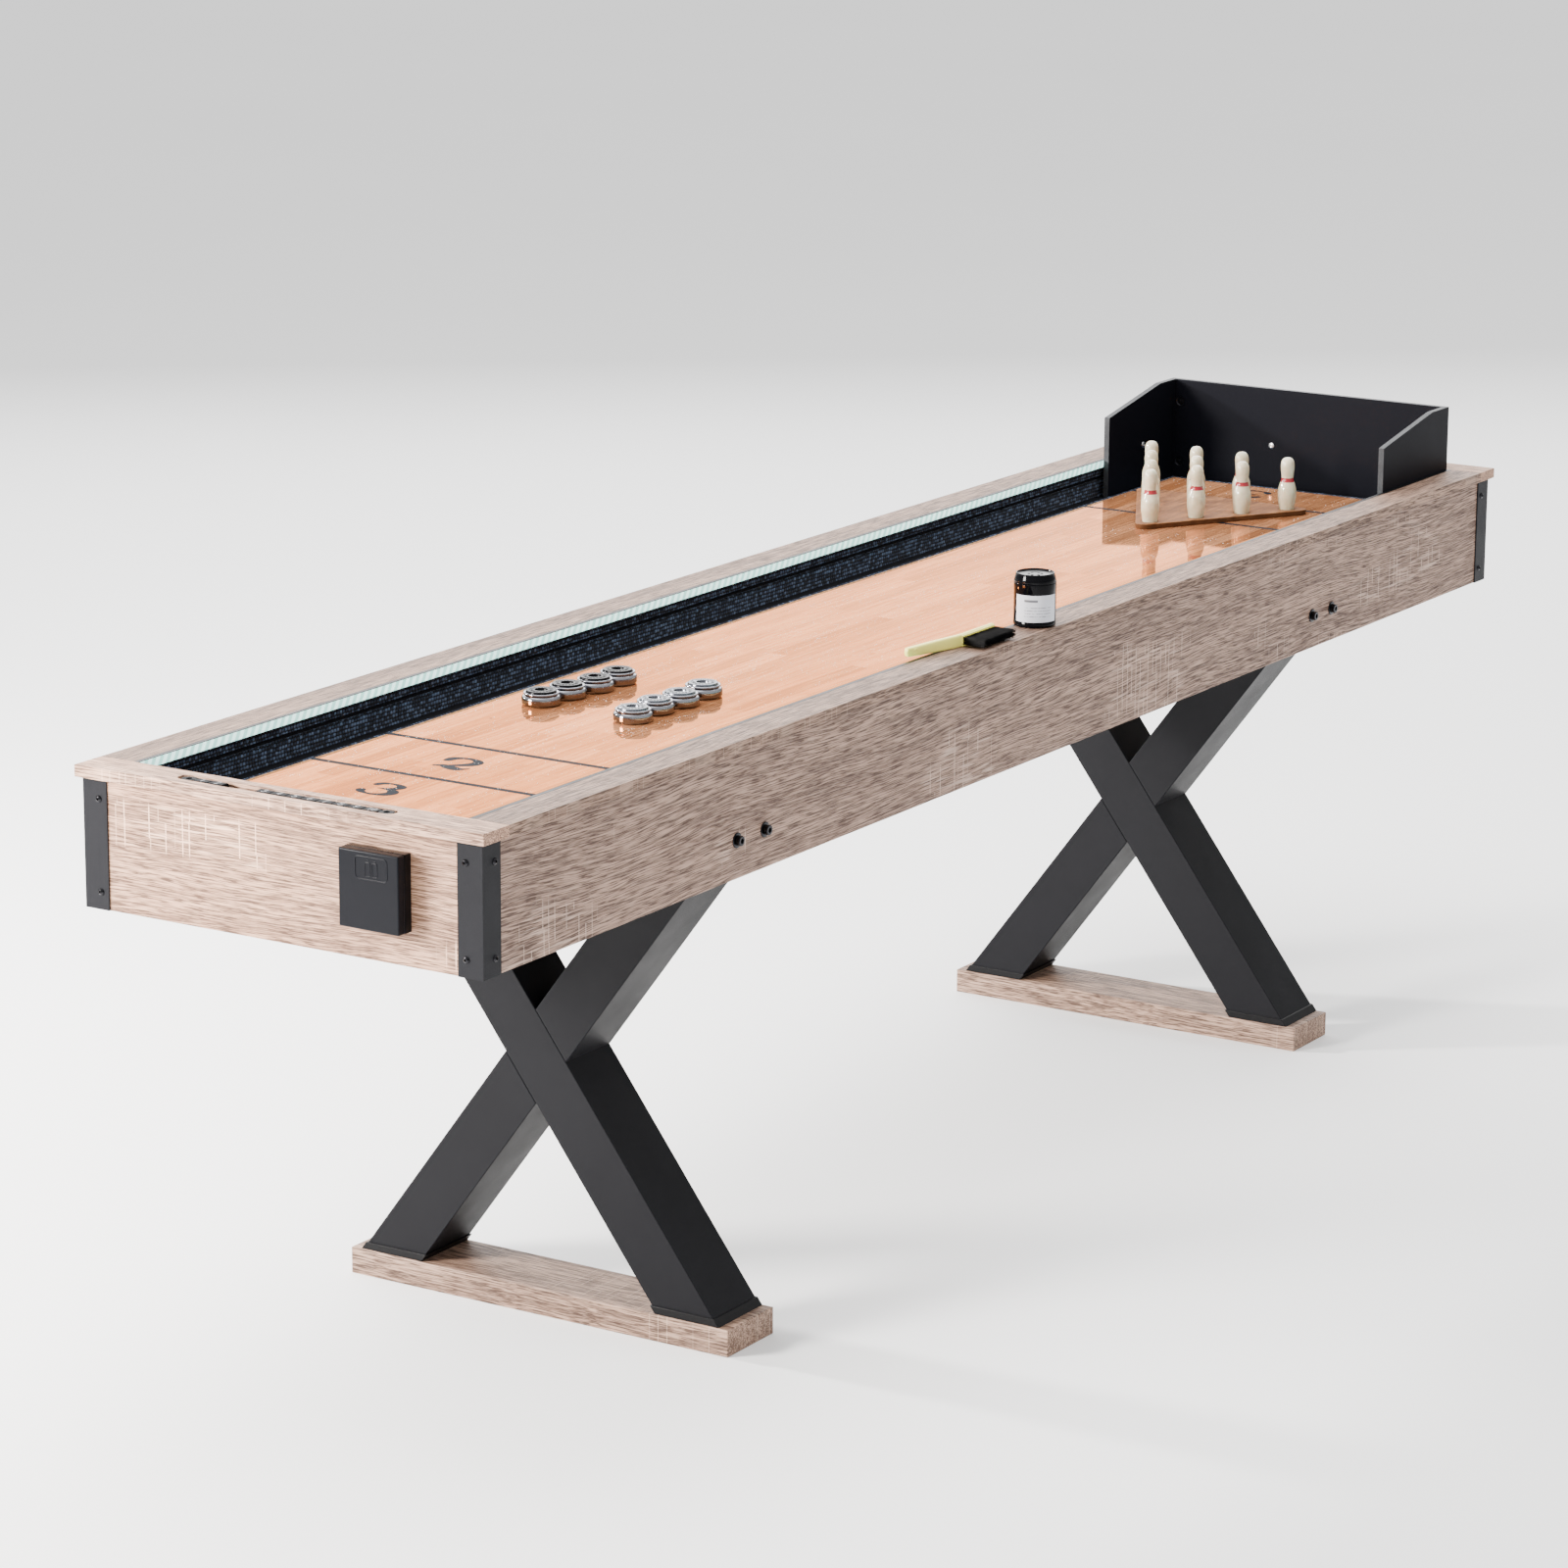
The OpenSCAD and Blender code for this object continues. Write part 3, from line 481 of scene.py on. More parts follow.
MATERIALS = {
    "oak_x": oak_laminate("oak_side", "x", "z", "y", tone=(1.12, 1.02, 0.98)),
    "oak_x2": oak_laminate("oak_side_left", "x", "z", "y", seed=4.3),
    # The end aprons use the side laminate with a much higher tone: painted light on the end faces, which face the key
    # light.
    "oak_end_painted_light": oak_laminate("oak_end_painted_light", "y", "z", "x", tone=(1.85, 1.50, 1.25), seed=1.9, saw=1.35, sweep=0.05,
                            sawn=(0.135, 0.735, 0.13, 0.032)),
    "oak_rail": oak_laminate("oak_rail", "x", "y", "z", tone=(1.0, 0.88, 0.80), seed=7.1, saw=0.4, sweep=0.05),
    # The end rails use the rail laminate with a much higher tone: painted sheen on the end rails' tops, which face up
    # like the side rails.
    "oak_rail_end_painted_sheen": oak_laminate("oak_rail_end_painted_sheen", "y", "x", "z", tone=(2.1, 1.80, 1.58), seed=2.6, saw=0.5,
                                 sweep=0.04),
    "oak_foot": oak_laminate("oak_foot", "y", "x", "z", tone=(1.25, 1.12, 1.02), seed=9.4, saw=0.5, sweep=0.05),
    "playfield": playfield_wood(),
    "base": paint("base_board", (0.006, 0.006, 0.008), 0.75, 400.0, specular=0.1),
    "slot": plain_wood("slot_board", (0.012, 0.011, 0.011), (0.006, 0.006, 0.006), "y", rough=0.7),
    "carpet": ribbed_carpet(),
    "bracket": paint("bracket_paint", (0.0085, 0.0088, 0.0112), 0.46, 1500.0, 0.0003, 0.4, 0.45, specular=0.13),
    "black_screw": metal("black_oxide", (0.026, 0.026, 0.029), 0.16),
    "channel": paint("light_channel", (0.004, 0.004, 0.005), 0.35, 1200.0, specular=0.15),
    "diffuser": diffuser_plastic(),
    "battery": paint("battery_plastic", (0.0050, 0.0055, 0.0078), 0.38, 2200.0, 0.00018, 0.25, 0.25, specular=0.10),
    "battery_rim": paint("battery_rim", (0.0024, 0.0025, 0.0034), 0.30, 2200.0, 0.00015, 0.25, 0.2, specular=0.15),
    "cells": metal("battery_jackets", (0.55, 0.56, 0.58), 0.3, "z"),
    "rod": metal("scorer_steel", (0.62, 0.63, 0.66), 0.16, "y"),
    "bead": paint("scorer_plastic", (0.004, 0.004, 0.005), 0.40, 1600.0, 0.0001, 0.3, 0.1, specular=0.3,
                  ior=1.12),
    "numeral": paint("numeral_white", (0.20, 0.20, 0.21), 0.4, 2000.0, 0.0001, 0.05, 0.1),
    "numeral_dark": paint("numeral_ink", (0.012, 0.013, 0.017), 0.45, 1200.0, 0.0001, 0.35, 0.1,
                          specular=0.2, ior=1.10),
    "leg": paint("leg_laminate", (0.0075, 0.0076, 0.0092), 0.46, 1300.0, 0.0003, 0.45, 0.4, specular=0.10),
    "foot_cap": paint("foot_plastic", (0.0050, 0.0050, 0.0056), 0.42, 900.0, specular=0.15),
    "backstop": laminate_black(),
    "backstop_edge": edge_tape(),
    "zinc": metal("zinc_fittings", (0.80, 0.80, 0.80), 0.30),
    "cam": metal("cam_locks", (0.06, 0.06, 0.07), 0.35),
    "rack": plain_wood("rack_wood", (0.270, 0.120, 0.052), (0.125, 0.050, 0.022), "x", rough=0.45),
    "pin": pin_enamel(),
    "chrome": metal("puck_chrome", (0.24, 0.24, 0.265), 0.055, None, 0.08),
    "cap_black": paint("puck_cap_black", (0.0045, 0.0045, 0.0055), 0.16, 1200.0, 0.00012, 0.3, 0.12, specular=0.08),
    "cap_silver": metal("puck_cap_silver", (0.120, 0.126, 0.145), 0.22, None, 0.15),
    # The brush handle glows a little by itself: painted light.
    "brush_plastic": paint("brush_plastic", (0.82, 0.76, 0.18), 0.33, 700.0, 0.0001, 0.06, 0.12, glow=0.25),
    "bristle": paint("brush_hair", (0.003, 0.003, 0.0035), 0.5, 3000.0, specular=0.15),
    "can": paint("can_plastic", (0.0022, 0.0022, 0.0030), 0.08, 300.0, 0.00008, 0.2, 0.05, specular=0.10),
    "label": label_paper(),
    # The wax grains glow by themselves: painted light.
    "wax": paint("wax_grains", (0.95, 0.94, 0.90), 0.35, 2500.0, 0.0001, 0.04, 0.1, glow=0.4),
}


# ---------------------------------------------------------------------------------------------------
# Mesh helpers
# ---------------------------------------------------------------------------------------------------

def link_object(name, data):
    obj = bpy.data.objects.new(name, data)
    bpy.context.scene.collection.objects.link(obj)
    return obj


def link_mesh(bm, name, materials):
    """Turns a bmesh into an object with the named materials."""
    mesh = bpy.data.meshes.new(name)
    bm.to_mesh(mesh)
    bm.free()
    for key in materials:
        mesh.materials.append(MATERIALS[key])
    return link_object(name, mesh)


def paint_node(node, key):
    """Gives one of the materials to a CAD node that shows as it is."""
    nodes[node].data.materials.clear()
    nodes[node].data.materials.append(MATERIALS[key])


# Faces larger than this, in square metres, are shaded flat
SMALL_FACE = 1e-4


def finish_piece(bm, name, materials, body, slot=None, replaces=(), smooth=True, sharp=35):
    """Turns a bmesh into a piece that rides on a body."""
    bmesh.ops.recalc_face_normals(bm, faces=bm.faces)
    for face in bm.faces:
        face.smooth = smooth and face.calc_area() < SMALL_FACE
    for edge in bm.edges:
        edge.smooth = not (edge.is_manifold and edge.calc_face_angle(0) > math.radians(sharp))
    obj = link_mesh(bm, name, materials)
    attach(obj, body)
    if replaces:
        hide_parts(*replaces)
        slot = slot or node_slot[replaces[0]]
    return obj


def bevel(bm, width, segments=2, angle=30, edges=None):
    edges = edges or [e for e in bm.edges if e.is_manifold and e.calc_face_angle(0) > math.radians(angle)]
    bmesh.ops.bevel(bm, geom=edges, offset=width, offset_type="OFFSET", segments=segments, profile=0.5,
                    affect="EDGES", clamp_overlap=True)


def box(bm, low, high):
    """Adds a box and returns its vertices."""
    low, high = Vector(low), Vector(high)
    verts = bmesh.ops.create_cube(bm, size=1.0)["verts"]
    for v in verts:
        v.co = Vector(low[i] + (high[i] - low[i]) * (v.co[i] + 0.5) for i in range(3))
    return verts


def board(node, material, width=0.0006, segments=2):
    """A node that is a plain board, with its edges eased."""
    low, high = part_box(node)
    bm = bmesh.new()
    box(bm, low, high)
    bevel(bm, width, segments)
    return finish_piece(bm, node + "_board", [material], node_body[node], replaces=[node], sharp=18)


def clean_copy(node):
    """A CAD node's mesh with its triangles joined into flat faces."""
    bm = bmesh.new()
    bm.from_mesh(nodes[node].data)
    bmesh.ops.remove_doubles(bm, verts=bm.verts, dist=2e-6)
    bmesh.ops.dissolve_limit(bm, angle_limit=math.radians(0.5), verts=bm.verts, edges=bm.edges)
    return bm


def soften(node, materials, width, segments=2, pick=None, angle=30):
    """A copy of a CAD node's mesh with its sharp edges eased. pick gives a face's material index."""
    bm = clean_copy(node)
    bevel(bm, width, segments, angle)
    bmesh.ops.recalc_face_normals(bm, faces=bm.faces)
    if pick:
        for face in bm.faces:
            face.material_index = pick(face)
    return finish_piece(bm, node + "_shape", materials, node_body[node], replaces=[node], sharp=18)


def ring(bm, place, size, z, segments, sides=None):
    """Vertices round a circle, or round a polygon whose flats are at size."""
    verts = []
    for i in range(segments):
        a = 2 * math.pi * i / segments
        r = size / math.cos(a % (2 * math.pi / sides) - math.pi / sides) if sides else size
        verts.append(bm.verts.new(place @ Vector((r * math.cos(a), r * math.sin(a), z))))
    return verts


def skin(bm, rings, wrap=True):
    """Faces between rows of vertices. wrap closes each row into a ring."""
    for a, b in zip(rings, rings[1:]):
        for i in range(len(a) if wrap else len(a) - 1):
            j = (i + 1) % len(a)
            bm.faces.new((a[i], a[j], b[j], b[i]))


def lathe(bm, profile, centre, segments, turn=None, material=0):
    """Turns a profile of (radius, height) about an axis through centre. turn is a matrix for the axis."""
    place = Matrix.Translation(centre) @ (turn or Matrix.Identity(4))
    rings = []
    for radius, height in profile:
        if radius < 1e-7:
            rings.append([bm.verts.new(place @ Vector((0, 0, height)))])
        else:
            rings.append(ring(bm, place, radius, height, segments))
    for a, b in zip(rings, rings[1:]):
        for i in range(segments):
            j = (i + 1) % segments
            if len(a) == 1 and len(b) == 1:
                continue
            if len(a) == 1:
                face = bm.faces.new((a[0], b[j], b[i]))
            elif len(b) == 1:
                face = bm.faces.new((a[i], a[j], b[0]))
            else:
                face = bm.faces.new((a[i], a[j], b[j], b[i]))
            face.material_index = material


def arc(cx, cy, r, start, end, steps):
    """Points of an arc, angles in degrees."""
    return [(cx + r * math.cos(math.radians(start + (end - start) * i / steps)),
             cy + r * math.sin(math.radians(start + (end - start) * i / steps))) for i in range(steps + 1)]


def spline(points, steps):
    """A Catmull-Rom curve through the points."""
    padded = [points[0]] + list(points) + [points[-1]]
    result = []
    for i in range(1, len(padded) - 2):
        p0, p1, p2, p3 = [Vector(p) for p in padded[i - 1:i + 3]]
        for k in range(steps):
            t = k / steps
            result.append(0.5 * ((2 * p1) + (p2 - p0) * t + (2 * p0 - 5 * p1 + 4 * p2 - p3) * t * t
                                 + (3 * p1 - p0 - 3 * p2 + p3) * t ** 3))
    result.append(Vector(points[-1]))
    return result


AXIS_X = Matrix.Rotation(math.radians(90), 4, "Y")
AXIS_MINUS_X = Matrix.Rotation(math.radians(-90), 4, "Y")
AXIS_Y = Matrix.Rotation(math.radians(-90), 4, "X")
AXIS_MINUS_Y = Matrix.Rotation(math.radians(90), 4, "X")


# ---------------------------------------------------------------------------------------------------
# Cabinet
# ---------------------------------------------------------------------------------------------------

board("apron_left", "oak_x2")
board("apron_right", "oak_x")
board("apron_near", "oak_end_painted_light")
board("apron_far", "oak_end_painted_light")
board("rail_left", "oak_rail")
board("rail_right", "oak_rail")
board("rail_far", "oak_rail_end_painted_sheen")
slot_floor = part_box("score_rod_bosses")[0].z
soften("rail_near", ["oak_rail_end_painted_sheen", "slot"], 0.0005, 2, angle=50,
       pick=lambda f: int(abs(f.normal.z) > 0.9 and f.calc_center_median().z < slot_floor + 0.0004
                          and f.calc_center_median().z > slot_floor - 0.001))
paint_node("base_panel", "base")
paint_node("gutter_liners", "base")
soften("playfield", ["playfield"], 0.0009, 3, angle=20)
soften("gutter_carpet", ["carpet"], 0.0011, 3)
soften("corner_brackets", ["bracket"], 0.0007, 3, angle=50)


def screw_head(bm, place, radius, height, socket, sides=6, depth=0.6):
    """A domed head with a socket in it, standing on the plane z = 0 of place."""
    dome = [(radius * math.cos(t), height * math.sin(t)) for t in [i * math.pi / 2 / 9 for i in range(7)]]
    rings = [ring(bm, place, r, z, 36) for r, z in [(radius, -0.0002)] + dome]
    rings += [ring(bm, place, r, z, 36, sides) for r, z in (
        (socket * 1.12, height * 0.97), (socket, height * 0.93), (socket * 0.97, height * (1 - depth)))]
    skin(bm, rings)
    bm.faces.new(rings[-1])


def bracket_screws():
    """Sixteen domed socket screws through the corner brackets."""
    low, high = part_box("corner_brackets")
    apron_low, apron_high = low.z, high.z
    bm = bmesh.new()
    for sx in (-1, 1):
        for sy in (-1, 1):
            for z in (apron_high - 0.025, apron_low + 0.022):
                x, y = sx * high.x, sy * high.y
                spin = Matrix.Rotation(rng.uniform(0, 1), 4, "Z")
                side = AXIS_Y if sy > 0 else AXIS_MINUS_Y
                end = AXIS_X if sx > 0 else AXIS_MINUS_X
                screw_head(bm, Matrix.Translation((x - sx * 0.024, y, z)) @ side @ spin, 0.0045, 0.0026, 0.0016)
                screw_head(bm, Matrix.Translation((x, y - sy * 0.024, z)) @ end @ spin, 0.0045, 0.0026, 0.0016)
    finish_piece(bm, "bracket_screw_heads", ["black_screw"], "table", replaces=["bracket_screws"])


bracket_screws()
paint_node("led_channels", "channel")


def light_diffusers():
    """Two bowed strips that cover the channels from lip to lip."""
    low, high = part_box("led_diffusers")
    c_low, c_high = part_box("led_channels")
    bm = bmesh.new()
    tall = (c_high.z - c_low.z) / 2 - 0.0004
    face = min(abs(v.co.y) for v in nodes["led_diffusers"].data.vertices)
    mid = (c_high.z + c_low.z) / 2
    for side in (-1, 1):
        inner = side * face
        section = [(inner + side * 0.0014, -tall)] + [
            (inner - side * 0.0006 * math.cos(math.radians(a)) + side * 0.0002, tall * math.sin(math.radians(a)))
            for a in range(-80, 81, 16)] + [(inner + side * 0.0014, tall)]
        ends = [[bm.verts.new((x, y, mid + z)) for y, z in section] for x in (low.x, high.x)]
        for i in range(len(section) - 1):
            bm.faces.new((ends[0][i], ends[0][i + 1], ends[1][i + 1], ends[1][i]))
        bm.faces.new((ends[0][0], ends[0][-1], ends[1][-1], ends[1][0]))
        for end in ends:
            bm.faces.new(end)
    finish_piece(bm, "light_diffuser_strips", ["diffuser"], "table", replaces=["led_diffusers"], sharp=50)


light_diffusers()


LEG_X, BOLT_SPREAD, APRON_FACE_Y = 0.79, 0.032, 0.293


def leg_bolts():
    """Black washers and socket heads on both long sides."""
    low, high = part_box("leg_bolts")
    z = (low.z + high.z) / 2
    bm = bmesh.new()
    for side in (-1, 1):
        turn = AXIS_Y if side > 0 else AXIS_MINUS_Y
        for leg in (-1, 1):
            for s in (-1, 1):
                place = (leg * LEG_X + s * BOLT_SPREAD, side * APRON_FACE_Y, z)
                lathe(bm, [(0.0, 0.0), (0.0095, 0.0), (0.0098, 0.0001)] + arc(0.0092, 0.0008, 0.0008, -60, 90, 6)
                      + [(0.0062, 0.0017), (0.0, 0.0017)], place, 48, turn)
                head = [(0.0, 0.0015), (0.0061, 0.0015), (0.0065, 0.0019), (0.0065, 0.0072)]
                head += arc(0.0057, 0.0072, 0.0008, 0, 90, 5) + [(0.0044, 0.0080)]
                lathe(bm, head, place, 48, turn)
                spin = Matrix.Rotation(rng.uniform(0, 1), 4, "Z")
                frame_at = Matrix.Translation(place) @ turn @ spin
                rings = [ring(bm, frame_at, 0.0044, 0.0080, 48)]
                rings += [ring(bm, frame_at, r, h, 48, 6) for r, h in ((0.0031, 0.0079), (0.0030, 0.0040))]
                skin(bm, rings)
                bm.faces.new(rings[-1])
    finish_piece(bm, "leg_bolt_heads", ["black_screw"], "table", replaces=["leg_bolts"])


leg_bolts()


# ---------------------------------------------------------------------------------------------------
# Legs
# ---------------------------------------------------------------------------------------------------

for end in ("near", "far"):
    soften(end + "_leg_long_beam", ["leg"], 0.0012, 2)
    soften(end + "_leg_half_beams", ["leg"], 0.0012, 2)
    board(end + "_leg_floor_board", "oak_foot", 0.0012, 2)
    paint_node(end + "_leg_top_rail", "leg")
soften("leg_foot_caps", ["foot_cap"], 0.0006, 2)


# ---------------------------------------------------------------------------------------------------
# Numerals: strokes on a unit cell, x to the right and y up
# ---------------------------------------------------------------------------------------------------

DIGITS = {
    "0": [[(0.5, 1.0), (0.2, 0.82), (0.12, 0.5), (0.2, 0.18), (0.5, 0.0), (0.8, 0.18), (0.88, 0.5), (0.8, 0.82),
           (0.5, 1.0)]],
    "1": [[(0.28, 0.78), (0.42, 0.86), (0.54, 1.0), (0.54, 0.5), (0.54, 0.0)]],
    "2": [[(0.16, 0.74), (0.28, 0.95), (0.55, 1.0), (0.80, 0.86), (0.80, 0.62), (0.52, 0.32), (0.18, 0.03)],
          [(0.18, 0.03), (0.5, 0.03), (0.86, 0.03)]],
    "3": [[(0.18, 0.86), (0.42, 1.0), (0.72, 0.94), (0.78, 0.72), (0.60, 0.55), (0.40, 0.53)],
          [(0.40, 0.53), (0.70, 0.50), (0.86, 0.28), (0.72, 0.06), (0.42, 0.0), (0.14, 0.14)]],
    "4": [[(0.68, 0.0), (0.68, 0.5), (0.68, 1.0)], [(0.68, 1.0), (0.38, 0.62), (0.10, 0.28)],
          [(0.10, 0.28), (0.5, 0.28), (0.92, 0.28)]],
    "5": [[(0.80, 1.0), (0.52, 1.0), (0.26, 1.0)], [(0.26, 1.0), (0.22, 0.78), (0.20, 0.56)],
          [(0.20, 0.56), (0.48, 0.64), (0.78, 0.52), (0.84, 0.28), (0.66, 0.04), (0.38, 0.0), (0.14, 0.12)]],
    "6": [[(0.76, 0.94), (0.46, 0.94), (0.22, 0.64), (0.16, 0.34), (0.30, 0.06), (0.56, 0.0), (0.82, 0.14),
           (0.84, 0.38), (0.62, 0.56), (0.34, 0.50), (0.18, 0.34)]],
    "7": [[(0.14, 1.0), (0.5, 1.0), (0.86, 1.0)], [(0.86, 1.0), (0.56, 0.52), (0.40, 0.0)]],
    "8": [[(0.5, 0.54), (0.24, 0.66), (0.24, 0.90), (0.5, 1.0), (0.76, 0.90), (0.76, 0.66), (0.5, 0.54),
           (0.18, 0.38), (0.16, 0.12), (0.5, 0.0), (0.84, 0.12), (0.82, 0.38), (0.5, 0.54)]],
    "9": [[(0.82, 0.66), (0.66, 0.48), (0.38, 0.44), (0.18, 0.62), (0.20, 0.88), (0.46, 1.0), (0.72, 0.92),
           (0.84, 0.64), (0.76, 0.34), (0.54, 0.06), (0.26, 0.06)]],
}
# The playfield's two numerals have thick and thin strokes: each point carries its pen width
PEN = {
    "2": [[(0.10, 0.66, 0.15), (0.14, 0.84, 0.17), (0.34, 0.97, 0.10), (0.58, 0.98, 0.10), (0.80, 0.84, 0.17),
           (0.82, 0.62, 0.20), (0.66, 0.42, 0.15), (0.42, 0.24, 0.08), (0.12, 0.08, 0.05)],
          [(0.12, 0.08, 0.06), (0.30, 0.16, 0.13), (0.52, 0.10, 0.19), (0.76, 0.05, 0.17), (0.92, 0.16, 0.06),
           (0.95, 0.26, 0.03)]],
    "3": [[(0.12, 0.80, 0.13), (0.20, 0.92, 0.13), (0.42, 0.99, 0.07), (0.62, 0.95, 0.11), (0.74, 0.82, 0.17),
           (0.68, 0.66, 0.14), (0.50, 0.56, 0.06), (0.34, 0.53, 0.04)],
          [(0.42, 0.55, 0.05), (0.64, 0.53, 0.11), (0.83, 0.38, 0.19), (0.82, 0.18, 0.19), (0.62, 0.03, 0.11),
           (0.38, 0.01, 0.07), (0.18, 0.09, 0.12), (0.10, 0.20, 0.16)]],
}


def digit(bm, text, place, height, width, pen=0.13, calligraphic=False, lift=0.0001, bold=1.0):
    """Draws a numeral in the plane of place, its middle at the origin."""
    step = width * 1.12
    for index, char in enumerate(text):
        shift = (index - (len(text) - 1) / 2) * step
        strokes = PEN[char] if calligraphic else [[(x, y, pen) for x, y in s] for s in DIGITS[char]]
        for k, stroke in enumerate(strokes):
            curve = spline([Vector(p) for p in stroke], 8)
            points = [Vector(((p.x - 0.5) * width + shift, (p.y - 0.5) * height)) for p in curve]
            widths = [max(0.02, p.z * bold) * height for p in curve]
            strip(bm, points, widths, place, lift + 0.00001 * k)


def strip(bm, points, widths, place, lift):
    """A stroke as a row of quads with a fan at each end, so that it may cross itself."""
    rows = []
    for i, p in enumerate(points):
        along = points[min(i + 1, len(points) - 1)] - points[max(i - 1, 0)]
        side = Vector((-along.y, along.x)).normalized() * widths[i] / 2
        rows.append([bm.verts.new(place @ Vector((q.x, q.y, lift))) for q in (p + side, p - side)])
    for a, b in zip(rows, rows[1:]):
        bm.faces.new((a[0], a[1], b[1], b[0]))
    for i, sign in ((0, -1), (len(points) - 1, 1)):
        along = points[min(i + 1, len(points) - 1)] - points[max(i - 1, 0)]
        base = math.atan2(along.y, along.x) + (0 if sign > 0 else math.pi)
        end, radius = points[i], widths[i] / 2
        bm.faces.new([bm.verts.new(place @ Vector((end.x + radius * math.cos(base + a), end.y + radius
                                                   * math.sin(base + a), lift)))
                      for a in [math.radians(-90 + 30 * k) for k in range(7)]])


def flat_piece(bm, name, key, body):
    """A printed piece: its faces all turned up, with no thickness."""
    for face in bm.faces:
        face.normal_update()
        if face.normal.z < 0:
            face.normal_flip()
    obj = link_mesh(bm, name, [key])
    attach(obj, body)


def playfield_numerals():
    """Printed numerals between the lines at both ends, read from the table's right side."""
    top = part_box("playfield")[1].z
    bm = bmesh.new()
    for text, x, flip in (("2", -1.001, 0), ("3", -1.156, 0), ("2", 0.966, 180), ("3", 1.122, 180)):
        place = Matrix.Translation((x, 0.0, top)) @ Matrix.Rotation(math.radians(flip - 90), 4, "Z")
        digit(bm, text, place, 0.054, 0.056, calligraphic=True, bold=1.5)
    flat_piece(bm, "playfield_numerals", "numeral_dark", "table")


playfield_numerals()


# ---------------------------------------------------------------------------------------------------
# Scorer
# ---------------------------------------------------------------------------------------------------

paint_node("score_rod", "rod")
soften("score_rod_bosses", ["bead"], 0.0009, 3, angle=50)


BEAD_PITCH = 0.0225


def score_beads(node, numbers):
    """Moulded beads with eased edges, each with its numeral on top."""
    low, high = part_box(node)
    bm = clean_copy(node)
    edges = [e for e in bm.edges if e.is_manifold and e.calc_face_angle(0) > math.radians(25)
             and e.verts[0].co.z > low.z + 0.001
             and max(abs(v.co.x - (low.x + high.x) / 2) for v in e.verts) > 0.004]
    bevel(bm, 0.0012, 3, edges=edges)
    finish_piece(bm, node + "_shape", ["bead"], node_body[node], replaces=[node])
    marks = bmesh.new()
    for i, number in enumerate(numbers):
        place = Matrix.Translation(((low.x + high.x) / 2, low.y + BEAD_PITCH * i + 0.01105, high.z)) @ Matrix.Rotation(
            math.radians(-90), 4, "Z")
        digit(marks, str(number), place, 0.0100, 0.0068 if number < 10 else 0.0056, pen=0.15, lift=0.00012)
    flat_piece(marks, node + "_numerals", "numeral", node_body[node])


score_beads("score_beads_left", [2, 1])
score_beads("score_beads_right", [10, 9, 8, 7, 6, 5, 4, 3])


# ---------------------------------------------------------------------------------------------------
# Battery box
# ---------------------------------------------------------------------------------------------------

def tube_loop(bm, path, radius, place):
    """A thin raised bead that follows a closed path in the plane of place."""
    rings = []
    for a, p, b in zip(path[-1:] + path[:-1], path, path[1:] + path[:1]):
        along = (b - a).normalized()
        side = Vector((-along.y, along.x))
        rings.append([bm.verts.new(place @ Vector((p.x + side.x * radius * math.cos(t), p.y + side.y * radius
                                                   * math.cos(t), radius * math.sin(t))))
                      for t in [2 * math.pi * k / 8 for k in range(8)]])
    skin(bm, rings + rings[:1])


def rounded_rect(cx, cy, w, h, r, steps):
    points = []
    for sx, sy, start in ((1, 1, 0), (-1, 1, 90), (-1, -1, 180), (1, -1, 270)):
        points += [Vector(p) for p in arc(cx + sx * (w / 2 - r), cy + sy * (h / 2 - r), r, start, start + 90, steps)]
    return points


def battery_box():
    """The cover with its embossed battery mark, over the case."""
    low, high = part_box("battery_cover")
    bm = clean_copy("battery_cover")
    outer = [e for e in bm.edges if e.is_manifold and e.calc_face_angle(0) > math.radians(30)
             and all(min(abs(v.co.y - low.y), abs(v.co.y - high.y), abs(v.co.z - low.z), abs(v.co.z - high.z)) < 1e-5
                     for v in e.verts)]
    bevel(bm, 0.0030, 5, edges=outer)
    mid_y, mid_z = (low.y + high.y) / 2, (low.z + high.z) / 2
    place = Matrix.Translation((low.x, mid_y, mid_z)) @ Matrix(
        ((0, 0, -1, 0), (-1, 0, 0, 0), (0, 1, 0, 0), (0, 0, 0, 1)))
    tube_loop(bm, rounded_rect(0.0045, 0.028, 0.046, 0.027, 0.005, 5), 0.0006, place)
    for y, w, h, r, steps, bead in ((0.0265, 0.0072, 0.0165, 0.0015, 3, 0.0005),
                                    (0.0363, 0.0030, 0.0022, 0.0006, 2, 0.0004)):
        for x in (-0.0005, 0.0095):
            tube_loop(bm, rounded_rect(x, y, w, h, r, steps), bead, place)
    finish_piece(bm, "battery_cover_shape", ["battery"], "battery_cover", replaces=["battery_cover"])
    soften("battery_case", ["battery_rim"], 0.0009, 3)
    paint_node("battery_cells", "cells")


battery_box()


# ---------------------------------------------------------------------------------------------------
# Backstop
# ---------------------------------------------------------------------------------------------------

for name, axis in (("backstop_left_panel", 1), ("backstop_right_panel", 1), ("backstop_back_panel", 0)):
    soften(name, ["backstop", "backstop_edge"], 0.0006, 2,
           pick=lambda f, axis=axis: int(abs(f.normal[axis]) < 0.8))


